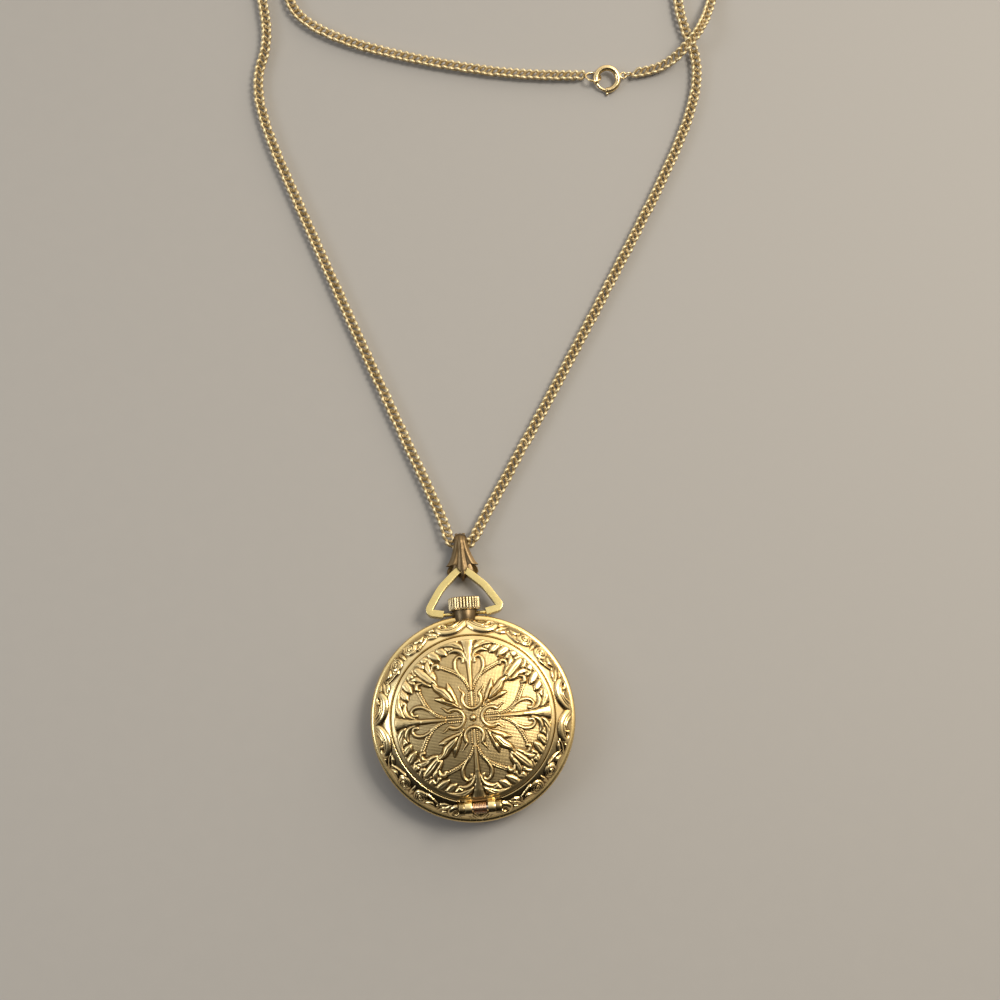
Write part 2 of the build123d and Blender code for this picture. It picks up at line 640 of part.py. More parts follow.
crown_wheel_turn = 90 + 180 / crown_wheel_teeth
ratchet_turn = mesh_turn(crown_wheel_teeth, crown_wheel_turn, crown_wheel_at, ratchet_teeth, barrel_at)
keep("ratchet_wheel", gear(ratchet_teeth, winding_module, ratchet_height, ratchet_z, barrel_at, ratchet_turn,
                           barrel_square_radius + fitting_clearance))
crown_wheel = gear(crown_wheel_teeth, winding_module, ratchet_height, ratchet_z, crown_wheel_at, crown_wheel_turn,
                   crown_wheel_bore)
keep("crown_wheel", crown_wheel - disc(crown_wheel_recess, ratchet_height, ratchet_z + crown_wheel_web, crown_wheel_at))
boss_z = ratchet_z - fitting_clearance
keep("ratchet_screw", disc(ratchet_screw_head, screw_head_height, ratchet_z - screw_head_height, barrel_at)
     + disc(screw_core_radius, screw_core_height, ratchet_z, barrel_at))
crown_wheel_screw = (disc(crown_screw_head, screw_head_height, boss_z - screw_head_height, crown_wheel_at)
     + disc(screw_core_radius, screw_core_height, boss_z, crown_wheel_at))
click_at = polar(click_distance, click_angle, barrel_at)
click_z = bridge_z - fitting_clearance - click_height
click_body = (bar(click_at, polar(click_tip_distance, click_tip_angle, barrel_at), click_width, click_z, click_height)
              + disc(click_hub_radius, click_height, click_z, click_at))
keep("click", click_body - disc(click_pin_radius + running_clearance, click_height, click_z, click_at))
keep("click_spring", bar(click_spring_base, click_spring_tip, click_spring_width, click_z, click_height)
     + disc(click_post_radius, click_height + fitting_clearance, click_z, click_spring_base))

# Winding pinion, one tooth of which stands in a gap of the crown wheel
keep("winding_pinion", along_stem(gear(winding_pinion_teeth, winding_pinion_module, winding_pinion_width,
                                       winding_pinion_y, (0, 0), 90, stem_bore)))

# Going train, each wheel with its pinion and arbor
centre_arbor_radius = 0.34
centre_pivot_z = 2.0
centre_arbor_top_z = 6.1
spoke_holes = 5
wheel_hole_share = 0.27
wheel_mid_share = 0.54


def train_wheel(teeth, module, z, at):
    pitch_radius = teeth * module / 2
    return lightened(gear(teeth, module, wheel_thickness, z, at), at, wheel_mid_share * pitch_radius,
                     wheel_hole_share * pitch_radius, spoke_holes, z, wheel_thickness)


keep("centre_wheel", train_wheel(centre_teeth, main_module, centre_wheel_z, centre_at)
     + gear(centre_pinion_teeth, main_module, centre_pinion_height, centre_pinion_z, centre_at)
     + disc(centre_arbor_radius, centre_arbor_top_z - gap_z - fitting_clearance, gap_z + fitting_clearance)
     + disc(arbor_radius, gap_z - centre_pivot_z, centre_pivot_z + fitting_clearance))
keep("third_wheel", train_wheel(third_teeth, third_module, third_wheel_z, third_at)
     + gear(third_pinion_teeth, main_module, pinion_height, third_pinion_z, third_at,
            mesh_turn(centre_teeth, 0, centre_at, third_pinion_teeth, third_at))
     + arbor(third_at))
keep("fourth_wheel", train_wheel(fourth_teeth, fourth_module, fourth_wheel_z, fourth_at)
     + gear(fourth_pinion_teeth, third_module, pinion_height, fourth_pinion_z, fourth_at,
            mesh_turn(third_teeth, 0, third_at, fourth_pinion_teeth, fourth_at))
     + arbor(fourth_at))

# Escape wheel with raked teeth
escape_tip_radius = 1.9
escape_root_radius = 1.5
escape_hole_share = 0.26
escape_corners = ((escape_root_radius, -0.35), (escape_tip_radius, -0.02), (escape_tip_radius, 0.08),
                  (escape_root_radius, 0.02))
escape_outline = [polar(radius, (tooth + share) * 360 / escape_teeth, escape_at)
                  for tooth in range(escape_teeth) for radius, share in escape_corners]
escape_blank = lightened(plate(escape_outline, escape_wheel_z, wheel_thickness), escape_at,
                         wheel_mid_share * escape_root_radius, escape_hole_share * escape_root_radius,
                         spoke_holes, escape_wheel_z, wheel_thickness)
keep("escape_wheel", escape_blank + gear(escape_pinion_teeth, fourth_module, pinion_height, escape_pinion_z, escape_at,
                                         mesh_turn(fourth_teeth, 0, fourth_at, escape_pinion_teeth, escape_at))
     + arbor(escape_at))

# Pallet fork with its two stones, and the cock that holds it under the balance rim
fork_width = 0.26
fork_reach = 2.14
horn_length = 0.3
slot_width = 0.22
horn_width = 0.6
pallet_spread = 32
arm_spread = 29
pallet_distance = 2.14
stone_inner_radius = 1.94
stone_outer_radius = 2.3
stone_width = 0.18
stone_overhang = 0.05
fork_pivot_low_z = 3.2
pallet_cock_z = 3.18
pallet_cock_thickness = 0.18
pallet_cock_reach = 1.9
pallet_cock_width = 0.7
pallet_foot_radius = 0.5

fork_angle = degrees(atan2(balance_at[1] - fork_at[1], balance_at[0] - fork_at[0]))
escape_angle = degrees(atan2(fork_at[1] - escape_at[1], fork_at[0] - escape_at[0]))
fork_level = escape_wheel_z
fork_lever = bar(fork_at, polar(fork_reach - horn_length, fork_angle, fork_at), fork_width, fork_level, wheel_thickness)
horn_root = polar(fork_reach - horn_length - slot_width, fork_angle, fork_at)
horn_middle = polar(fork_reach - horn_width / 2, fork_angle, fork_at)
horns = bar(horn_root, horn_middle, horn_width, fork_level, wheel_thickness)
slot_root = polar(fork_reach - horn_length, fork_angle, fork_at)
slot_mouth = polar(fork_reach + slot_width, fork_angle, fork_at)
horn_slot = bar(slot_root, slot_mouth, slot_width, fork_level, wheel_thickness)
stones = [bar(polar(stone_inner_radius + stone_width / 2, escape_angle + side * pallet_spread, escape_at),
              polar(stone_outer_radius, escape_angle + side * pallet_spread, escape_at),
              stone_width, fork_level - stone_overhang, wheel_thickness + 2 * stone_overhang) for side in (-1, 1)]
pallet_fork = fork_lever + horns - horn_slot + arbor(fork_at, fork_pivot_low_z)
for side, stone in zip((-1, 1), stones):
    arm_end = polar(pallet_distance, escape_angle + side * arm_spread, escape_at)
    pallet_fork += bar(fork_at, arm_end, fork_width, fork_level, wheel_thickness)
for stone in stones:
    pallet_fork -= stone
keep("pallet_fork", pallet_fork)
keep("pallet_stones", *stones)
cock_feet = [polar(pallet_cock_reach, fork_angle + side * 90, fork_at) for side in (-1, 1)]
pallet_cock = bar(cock_feet[0], cock_feet[1], pallet_cock_width, pallet_cock_z, pallet_cock_thickness)
for foot in cock_feet:
    pallet_cock += disc(pallet_foot_radius, plate_z - pallet_cock_z, pallet_cock_z, foot)
keep("pallet_cock", pallet_cock - disc(pivot_radius + fitting_clearance, pallet_cock_thickness, pallet_cock_z, fork_at))

# Balance wheel with its staff and roller, and the hairspring
balance_radius = 3.4
balance_rim = 0.45
balance_rim_z = 2.72
balance_rim_height = 0.38
balance_arm_width = 0.4
balance_hub_radius = 0.5
staff_radius = 0.25
staff_z = 2.44
staff_pivot_z = 2.04
roller_radius = 0.95
roller_z = 3.7
roller_height = 0.15
impulse_jewel_radius = 0.08
impulse_jewel_distance = 0.75
impulse_jewel_z = 3.45
hairspring_inner = 0.45
hairspring_pitch = 0.2
hairspring_turns = 6
hairspring_strip = 0.05
hairspring_z = 2.46
hairspring_height = 0.13

balance = (ring(balance_radius, balance_radius - balance_rim, balance_rim_height, balance_rim_z, balance_at)
           + bar(polar(balance_radius - balance_rim, 0, balance_at), polar(balance_radius - balance_rim, 180, balance_at),
                 balance_arm_width, balance_rim_z + fitting_clearance, wheel_thickness)
           + disc(balance_hub_radius, balance_rim_height, balance_rim_z, balance_at)
           + disc(staff_radius, plate_z - staff_z - fitting_clearance, staff_z, balance_at)
           + disc(pivot_radius, pivot_high_z - staff_pivot_z, staff_pivot_z, balance_at)
           + disc(roller_radius, roller_height, roller_z, balance_at)
           + disc(impulse_jewel_radius, roller_z - impulse_jewel_z, impulse_jewel_z,
                  polar(impulse_jewel_distance, fork_angle + 180, balance_at)))
keep("balance_wheel", balance)
keep("hairspring", spiral_strip(hairspring_inner, hairspring_pitch, hairspring_turns, hairspring_strip,
                                hairspring_z, hairspring_height, balance_at))

# Main plate with its stem slot, guide boss, pivot holes and the recess for the motion work
motion_floor_z = 4.66
motion_recess_radius = 2.1
cannon_teeth, minute_teeth, minute_pinion_teeth, hour_teeth = 12, 36, 10, 40
cannon_module = 0.10
hour_module = 0.096
minute_wheel_angle = -60
minute_post_radius = 0.2
minute_post_top_z = 5.15
stem_slot_half = 1.75
stem_slot_y = 7.3
stem_slot_top_z = 5.05
guide_half = 0.9
guide_low_y = 6.4
guide_high_y = 7.4
guide_z = 2.85
screw_radius = 0.3
screw_z = 1.72
screw_head_radius = 0.6
screw_head_rise = 0.35
screw_end_z = 4.6
screw_circle = 10.4
barrel_screw_angles = (72, 125, 168)
train_screw_angles = (200, 250, 300)
cock_foot = polar(9.7, 50)
cock_foot_radius = 1.5
cock_width = 2.4
cock_z = 1.7
cock_thickness = 0.7

minute_at = polar((cannon_teeth + minute_teeth) * cannon_module / 2, minute_wheel_angle)
screws_at = [polar(screw_circle, angle) for angle in barrel_screw_angles + train_screw_angles] + [cock_foot]
main_plate = disc(movement_radius, plate_thickness, plate_z)
main_plate -= block((-stem_slot_half, stem_slot_y, plate_z), (stem_slot_half, movement_radius + cut_over, stem_slot_top_z))
main_plate += block((-guide_half, guide_low_y, guide_z), (guide_half, guide_high_y, plate_z + fitting_clearance))
main_plate -= along_stem(disc(pilot_radius + running_clearance, cut_over + guide_high_y, guide_low_y - cut_over))
main_plate -= disc(motion_recess_radius, plate_thickness, motion_floor_z)
main_plate -= disc(motion_recess_radius, plate_thickness, motion_floor_z, minute_at)
main_plate += disc(minute_post_radius, minute_post_top_z - motion_floor_z, motion_floor_z, minute_at)
main_plate -= disc(centre_arbor_radius + running_clearance, plate_thickness, plate_z)
main_plate -= disc(barrel_pivot_radius + running_clearance, barrel_pivot_top_z + running_clearance - plate_z, plate_z,
                   barrel_at)
plate_jewels_at = (third_at, fourth_at, escape_at, fork_at, balance_at)
for at in plate_jewels_at:
    main_plate -= disc(jewel_radius, jewel_height, plate_z, at)
for at in screws_at:
    main_plate -= disc(screw_radius, screw_end_z - plate_z, plate_z, at)
keep("main_plate", main_plate)

# Bridges: each a slab over its wheels, standing on a foot along the plate's rim
bridge_rim_radius = 11.4
foot_inner_radius = 9.6
foot_slot_y = 9.0
bridge_slot_y = 9.8
barrel_bridge_outline = ((-12, -1.4), (-2.2, -1.4), (-1.2, 1.2), (3.4, 3.4), (3.9, 12), (-12, 12))
train_bridge_outline = ((-12, -1.6), (-2.0, -1.6), (-1.15, 0.95), (1.3, 1.75), (2.9, 0.4), (3.7, -1.9), (6.2, -2.35),
                        (7.2, -3.1), (8.6, -8.0), (12, -12), (-12, -12))


def bridge(outline, screws):
    slab = plate(outline, bridge_z, bridge_thickness) & disc(bridge_rim_radius, bridge_thickness, bridge_z)
    foot_height = plate_z - gap_z
    slab += plate(outline, gap_z, foot_height) & ring(bridge_rim_radius, foot_inner_radius, foot_height, gap_z)
    for at in screws:
        slab -= disc(screw_radius, plate_z - bridge_z, bridge_z, at)
        slab -= disc(screw_head_radius, screw_head_rise, screw_z, at)
    return slab


barrel_bridge = bridge(barrel_bridge_outline, [polar(screw_circle, angle) for angle in barrel_screw_angles])
barrel_bridge -= block((-stem_slot_half, bridge_slot_y, bridge_z), (stem_slot_half, movement_radius, gap_z))
barrel_bridge -= block((-stem_slot_half, foot_slot_y, gap_z), (stem_slot_half, movement_radius, plate_z))
barrel_bridge -= disc(barrel_square_radius + running_clearance, bridge_thickness, bridge_z, barrel_at)
barrel_bridge += disc(core_boss_radius, bridge_z - boss_z, boss_z, crown_wheel_at)
barrel_bridge -= disc(screw_core_radius, screw_core_height, boss_z, crown_wheel_at)
barrel_bridge += disc(click_pin_radius, bridge_z - click_z, click_z, click_at)
keep("barrel_bridge", barrel_bridge)

train_bridge = bridge(train_bridge_outline, [polar(screw_circle, angle) for angle in train_screw_angles])
train_bridge -= disc(arbor_radius + running_clearance, bridge_thickness, centre_pivot_z)
bridge_jewels_at = (third_at, fourth_at, escape_at)
bridge_jewel_z = gap_z - jewel_height
for at in bridge_jewels_at:
    train_bridge -= disc(jewel_radius, jewel_height, bridge_jewel_z, at)
keep("train_bridge", train_bridge)

balance_cock = (bar(cock_foot, balance_at, cock_width, cock_z, cock_thickness)
                + disc(cock_foot_radius, plate_z - cock_z, cock_z, cock_foot))
cock_jewel_z = cock_z + cock_thickness - jewel_height
balance_cock -= disc(jewel_radius, jewel_height, cock_jewel_z, balance_at)
balance_cock -= disc(screw_radius, plate_z - cock_z, cock_z, cock_foot)
balance_cock -= disc(screw_head_radius, screw_head_rise, cock_z - screw_head_rise / 2, cock_foot)
keep("balance_cock", balance_cock)

bridge_screws = [disc(screw_head_radius, screw_head_rise, screw_z, at)
                 + disc(screw_radius, screw_end_z - screw_z, screw_z, at) for at in screws_at[:-1]]
cock_screw_z = cock_z - screw_head_rise / 2
bridge_screws.append(disc(screw_head_radius, screw_head_rise, cock_screw_z, cock_foot)
                     + disc(screw_radius, screw_end_z - cock_screw_z, cock_screw_z, cock_foot))
keep("bridge_screws", crown_wheel_screw, *bridge_screws)
jewel_bore = pivot_radius + fitting_clearance
jewels = [ring(jewel_radius, jewel_bore, jewel_height, plate_z, at) for at in plate_jewels_at]
jewels += [ring(jewel_radius, jewel_bore, jewel_height, bridge_jewel_z, at) for at in bridge_jewels_at]
jewels.append(ring(jewel_radius, jewel_bore, jewel_height, cock_jewel_z, balance_at))
keep("jewels", *jewels)

# Motion work under the dial, and the two hands
cannon_tube_inner = 0.36
cannon_tube_outer = 0.48
cannon_z = 4.7
cannon_gear_height = 0.22
cannon_top_z = 6.22
minute_wheel_z = 4.74
minute_wheel_height = 0.16
minute_pinion_height = 0.28
hour_wheel_z = 5.02
hour_wheel_height = 0.14
hour_tube_inner = 0.53
hour_tube_outer = 0.75
hour_tube_top_z = 5.95
hour_hand_z = 5.8
minute_hand_z = 6.02
hand_thickness = 0.12
hour_hand_length = 6.2
minute_hand_length = 9.8
hour_hub_radius = 1.15
minute_hub_radius = 0.95
hand_root_half = 0.18
hand_belly_half = 0.5
hand_belly_share = 0.68
hour_hand_angle = 145
minute_hand_angle = 30

keep("cannon_pinion", gear(cannon_teeth, cannon_module, cannon_gear_height, cannon_z, centre_at, 0, cannon_tube_inner)
     + ring(cannon_tube_outer, cannon_tube_inner, cannon_top_z - cannon_z, cannon_z))
minute_turn = mesh_turn(cannon_teeth, 0, centre_at, minute_teeth, minute_at)
minute_bore = minute_post_radius + running_clearance
keep("minute_wheel", gear(minute_teeth, cannon_module, minute_wheel_height, minute_wheel_z, minute_at, minute_turn,
                          minute_bore)
     + gear(minute_pinion_teeth, hour_module, minute_pinion_height, minute_wheel_z + minute_wheel_height, minute_at, 0,
            minute_bore))
hour_turn = mesh_turn(minute_pinion_teeth, 0, minute_at, hour_teeth, centre_at)
keep("hour_wheel", gear(hour_teeth, hour_module, hour_wheel_height, hour_wheel_z, centre_at, hour_turn, hour_tube_inner)
     + ring(hour_tube_outer, hour_tube_inner, hour_tube_top_z - hour_wheel_z, hour_wheel_z))


def hand(length, hub_radius, bore, z, angle):
    belly = hand_belly_share * length
    blade = plate(((0, -hand_root_half), (belly, -hand_belly_half), (length, 0), (belly, hand_belly_half),
                   (0, hand_root_half)), z, hand_thickness)
    return Rot(0, 0, angle) * (blade + disc(hub_radius, hand_thickness, z) - disc(bore, hand_thickness, z))


keep("hour_hand", hand(hour_hand_length, hour_hub_radius, hour_tube_outer, hour_hand_z, hour_hand_angle))
keep("minute_hand", hand(minute_hand_length, minute_hub_radius, cannon_tube_outer, minute_hand_z, minute_hand_angle))

# Movement ring round the movement, and the two screws with wide heads that hold it
ring_low_z = 2.7
case_screw_angles = (35, 215)
case_screw_circle = 12.45
case_screw_head = 0.8
case_screw_head_height = 0.3
case_screw_radius = 0.35
case_screw_length = 2.0

movement_ring = ring(seat_radius, movement_radius + fitting_clearance, dial_z - ring_low_z, ring_low_z)
movement_ring -= along_stem(disc(stem_radius + free_clearance, case_radius))
case_screws = []
for angle in case_screw_angles:
    at = polar(case_screw_circle, angle)
    movement_ring -= disc(case_screw_radius, case_screw_length, ring_low_z, at)
    case_screws.append(disc(case_screw_head, case_screw_head_height, ring_low_z - case_screw_head_height, at)
                       + disc(case_screw_radius, case_screw_length, ring_low_z, at))
keep("movement_ring", movement_ring)
keep("case_screws", *case_screws)

# Bow: a flat band bent to a triangle, with a pin at each foot that turns in the pendant neck
bow_width = 1.3
bow_depth = 1.4
bow_foot_x = 3.9
bow_corner = (6.55, 0.35)
bow_middle = (3.51, 4.64)
bow_apex_y = 8.55
bow_corner_bend = 0.9
bow_middle_bend = 8.0
bow_apex_bend = 1.0
bow_droop = 10.8
bow_pin_seat = 0.4

half_bow = [(bow_foot_x, 0), bow_corner, bow_middle]
bow_points = half_bow + [(0, bow_apex_y)] + [(-x, y) for x, y in reversed(half_bow)]
bow_bends = [bow_corner_bend, bow_middle_bend, bow_apex_bend, bow_middle_bend, bow_corner_bend]
bow_path = FilletPolyline(*bow_points, radius=bow_bends)
bow_start = Plane(origin=bow_path @ 0, x_dir=(0, 0, 1), z_dir=bow_path % 0)
bow = sweep(bow_start * Rectangle(bow_depth, bow_width), path=bow_path)
for side in (-1, 1):
    x_low = min(side * bow_pin_inner_x, side * (bow_foot_x + bow_pin_seat))
    bow += rod_x(bow_pin_radius, x_low, x_low + bow_foot_x + bow_pin_seat - bow_pin_inner_x, 0, 0)
keep("bow", Pos(0, bow_pivot_y, stem_z) * Rot(-bow_droop, 0, 0) * bow)

# Bail: one folded leaf fitting, a loop for the chain above and two leaves closed under the bow's apex
bail_loop_y = 31.3
bail_z = 1.8
bail_loop_inner = 1.3
bail_thickness = 0.45
bail_shoulder_y = 25.9
bail_floor_y = 25.15
bail_tip_y = 24.5
bail_shoulder_half = 1.1
bail_floor_half = 1.0
bail_tip_half = 0.5
bail_bevel = 0.3
bail_lift = 1.0
bail_x = 0.2

outer_side = ((bail_loop_y, bail_loop_inner + bail_thickness), (bail_shoulder_y, bail_shoulder_half + bail_thickness),
              (bail_floor_y - bail_bevel, bail_floor_half + bail_bevel), (bail_tip_y, bail_tip_half))
inner_side = ((bail_loop_y, bail_loop_inner), (bail_shoulder_y, bail_shoulder_half), (bail_floor_y, bail_floor_half))


def side_view(half_outline, loop_radius, half_width):
    """A solid with the given outline as seen from the side, mirrored about the bail's middle."""
    outline = list(half_outline) + [(y, -z) for y, z in reversed(half_outline)]
    face = make_face(Polyline(*outline, close=True)) + Pos(bail_loop_y, 0) * Circle(loop_radius)
    return Pos(bail_x, 0, bail_z) * extrude(Plane.YZ * face, half_width, both=True)


bail_half_width = 4.0
bail_body = (side_view(outer_side, bail_loop_inner + bail_thickness, bail_half_width)
             - side_view(inner_side, bail_loop_inner, bail_half_width + cut_over))
front_half = ((0.95, 33.2), (1.0, 31.8), (1.25, 30.9), (1.7, 29.9), (2.2, 28.9), (2.95, 28.1), (2.7, 27.5), (1.7, 27.3),
              (1.0, 26.6), (0.3, 26.4), (0.3, 24.4))
back_half = ((0.95, 33.2), (1.0, 31.8), (1.25, 30.9), (1.65, 29.9), (2.15, 28.9), (2.7, 27.6), (2.5, 26.4), (1.9, 25.7),
             (1.2, 25.25), (0.3, 25.25), (0.3, 24.4))


def leaf_room(half_outline, low_z, height):
    outline = list(half_outline) + [(-x, y) for x, y in reversed(half_outline)]
    return Pos(bail_x, 0, 0) * plate(outline, low_z, height)


front_leaf = bail_body & leaf_room(front_half, bail_z, bail_half_width)
back_leaf = bail_body & leaf_room(back_half, bail_z - bail_half_width, bail_half_width)
keep("bail", front_leaf + back_leaf)

# Spring ring clasp: a hollow ring with a gap, the sliding trigger with its knob, and the spring behind it
clasp_x, clasp_y, clasp_z = 35.1, 118.2, 1.12
clasp_radius = 2.1
clasp_wire = 0.56
clasp_bore = 0.3
clasp_tilt = 14
clasp_gap_start, clasp_gap = 200, 60
trigger_wire = 0.27
trigger_start, trigger_span = 197, 88
socket_start = 195
clasp_bore_end = 346
knob_start, knob_span = 263, 8
knob_half_height = 0.2
knob_reach = 3.0
knob_slot_start, knob_slot_span = 260, 57
clasp_spring_start, clasp_spring_span = 331.5, 13
clasp_spring_wire = 0.27
clasp_spring_bore = 0.12

clasp_place = Pos(clasp_x, clasp_y, clasp_z) * Rot(clasp_tilt, 0, 0)


clasp_ring = arc_rod(clasp_radius, clasp_wire, clasp_gap_start + clasp_gap, 360 - clasp_gap)
clasp_ring -= arc_rod(clasp_radius, clasp_bore, clasp_gap_start + clasp_gap, clasp_bore_end - clasp_gap_start - clasp_gap)
clasp_ring -= arc_rod(clasp_radius, clasp_bore, socket_start, clasp_gap_start - socket_start)
clasp_ring -= sector(knob_reach, clasp_radius, knob_half_height + running_clearance, knob_slot_start, knob_slot_span)
keep("clasp_ring", clasp_place * clasp_ring)
trigger = arc_rod(clasp_radius, trigger_wire, trigger_start, trigger_span)
keep("clasp_trigger", clasp_place * (trigger + sector(knob_reach, clasp_radius, knob_half_height, knob_start, knob_span)))
keep("clasp_spring", clasp_place * (arc_rod(clasp_radius, clasp_spring_wire, clasp_spring_start, clasp_spring_span)
                                    - arc_rod(clasp_radius, clasp_spring_bore, clasp_spring_start, clasp_spring_span)))

# Jump rings and the soldered eyelet that join the clasp to the chain's two ends
left_turn, right_turn = -13.7, 9.1
large_ring_radius = 1.42
large_ring_wire = 0.2
large_ring_distance = -2.66
large_ring_tilt = -33
eyelet_radius = 0.55
eyelet_wire = 0.16
eyelet_span = 280
eyelet_distance = 3.22
small_ring_radius = 0.64
small_ring_wire = 0.15
small_ring_distance = 4.12
small_ring_tilt = 90


def link_ring(turn, distance, tilt, radius, wire):
    place = Pos(clasp_x, clasp_y, clasp_z) * Rot(0, 0, turn) * Pos(distance, 0, 0) * Rot(tilt, 0, 0)
    return place * Torus(radius, wire)


large_ring = link_ring(left_turn, large_ring_distance, large_ring_tilt, large_ring_radius, large_ring_wire)
small_ring = link_ring(right_turn, small_ring_distance, small_ring_tilt, small_ring_radius, small_ring_wire)
keep("jump_rings", large_ring, small_ring)
eyelet_place = Pos(clasp_x, clasp_y, clasp_z) * Rot(0, 0, right_turn) * Pos(eyelet_distance, 0, 0) * Rot(clasp_tilt, 0, 0)
keep("clasp_eyelet", eyelet_place * arc_rod(eyelet_radius, eyelet_wire, -eyelet_span / 2, eyelet_span))

# Chain: the space that its curb links fill, as one round tube along the route
chain_width = 1.8
bend_share = 0.45
chain_route = [
    (40.0, 119.0, 0.9), (43.4, 119.2, 0.9), (47.2, 120.3, 1.6), (50.6, 122.6, 4.5), (53.4, 125.6, 4.5),
    (56.0, 130.6, 1.6), (58.4, 137.0, 0.9), (60.6, 148.5, 0.9), (59.0, 162.5, 0.9), (50.0, 175.5, 0.9),
    (35.0, 183.8, 0.9), (17.5, 186.2, 0.9), (-0.5, 183.2, 0.9), (-16.0, 174.5, 0.9), (-26.5, 161.5, 0.9),
    (-30.6, 149.0, 0.9), (-29.4, 138.5, 0.9), (-28.8, 130.5, 0.9), (-31.8, 122.5, 0.9), (-30.2, 112.5, 0.9),
    (-25.7, 99.4, 0.9), (-17.6, 76.6, 0.9), (-9.3, 53.7, 0.9), (-4.6, 41.2, 0.9), (-2.4, 34.8, 1.3),
    (-1.6, 30.9, 1.75), (2.1, 30.9, 1.75), (4.1, 34.4, 1.3), (8.1, 40.6, 0.9), (16.3, 53.2, 0.9),
    (31.6, 77.4, 0.9), (45.4, 100.0, 0.9), (51.6, 112.8, 0.9), (52.9, 121.5, 0.9), (50.2, 129.5, 0.9),
    (50.4, 140.0, 0.9), (53.0, 150.0, 0.9), (50.0, 162.5, 0.9), (41.0, 171.8, 0.9), (28.5, 177.8, 0.9),
    (13.5, 179.0, 0.9), (-1.5, 175.2, 0.9), (-13.0, 167.5, 0.9), (-20.5, 155.5, 0.9), (-24.6, 143.5, 0.9),
    (-24.2, 136.2, 0.9), (-16.5, 130.4, 0.9), (-3.0, 125.4, 0.9), (12.5, 121.4, 0.9), (23.5, 119.7, 0.9),
    (30.82, 119.24, 0.9)]


def bend_radii(route):
    radii = []
    for before, here, after in zip(route, route[1:], route[2:]):
        incoming, outgoing = Vector(*here) - Vector(*before), Vector(*after) - Vector(*here)
        half_turn = radians(incoming.get_angle(outgoing)) / 2
        radii.append(bend_share * min(incoming.length, outgoing.length) / tan(half_turn))
    return radii


chain_radii = bend_radii(chain_route)
chain_path = FilletPolyline(*chain_route, radius=chain_radii)
chain_section = Plane(chain_path @ 0, z_dir=chain_path % 0) * Circle(chain_width / 2)
chain = keep("chain", sweep(chain_section, path=chain_path))

# Figures that show the tubes came out whole
chain_tight = sorted(chain_radii)[:3]
print("chain length", round(chain_path.length, 1), "tightest bends", [round(radius, 2) for radius in chain_tight])
print("chain volume", round(chain.volume, 2), "section times length", round(pi * (chain_width / 2) ** 2 * chain_path.length, 2))
print("spring volume", round(hinge_spring.volume, 4), "section times length",
      round(pi * (spring_wire / 2) ** 2 * spring_path.length, 4))
print("spring's least gap between its curls", round(spring_pitch - spring_wire, 3))
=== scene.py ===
from cmath import phase, rect
from math import cos, hypot, pi, radians, sin, sqrt

import bpy
import numpy as np
from mathutils import Matrix, Vector


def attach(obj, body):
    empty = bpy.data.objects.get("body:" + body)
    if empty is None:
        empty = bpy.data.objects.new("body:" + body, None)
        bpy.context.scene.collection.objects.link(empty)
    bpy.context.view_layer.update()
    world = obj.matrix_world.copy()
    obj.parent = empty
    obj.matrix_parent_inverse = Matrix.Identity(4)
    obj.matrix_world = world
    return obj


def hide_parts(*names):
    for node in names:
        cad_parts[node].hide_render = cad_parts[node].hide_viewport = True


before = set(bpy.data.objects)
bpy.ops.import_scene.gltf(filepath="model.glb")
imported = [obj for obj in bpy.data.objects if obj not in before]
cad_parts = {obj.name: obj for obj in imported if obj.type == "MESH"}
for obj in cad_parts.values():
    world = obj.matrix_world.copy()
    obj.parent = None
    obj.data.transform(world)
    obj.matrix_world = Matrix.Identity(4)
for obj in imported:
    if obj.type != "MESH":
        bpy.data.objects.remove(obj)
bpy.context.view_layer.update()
mm = 0.001

# Camera: it stands straight above the case and looks a little up the chain, so that the watch sits
# low in the picture and both strands run up out of it.
camera_height = 255.0
camera_target = Vector((8.03, 38.84, 0.0))
camera_roll = radians(4.733)
camera_data = bpy.data.cameras.new("photo_camera")
camera_data.lens = 50.78
camera_data.sensor_width = 36.0
camera_data.clip_start = 0.01
camera = bpy.data.objects.new("photo_camera", camera_data)
bpy.context.scene.collection.objects.link(camera)
camera_place = Vector((0.0, 0.0, camera_height))
camera_forward = (camera_target - camera_place).normalized()
camera_right = camera_forward.cross(Vector((sin(camera_roll), cos(camera_roll), 0.0))).normalized()
camera_up = camera_right.cross(camera_forward)
camera.matrix_world = Matrix.Translation(camera_place * mm) @ Matrix(
    (camera_right, camera_up, -camera_forward)).transposed().to_4x4()
bpy.context.scene.camera = camera

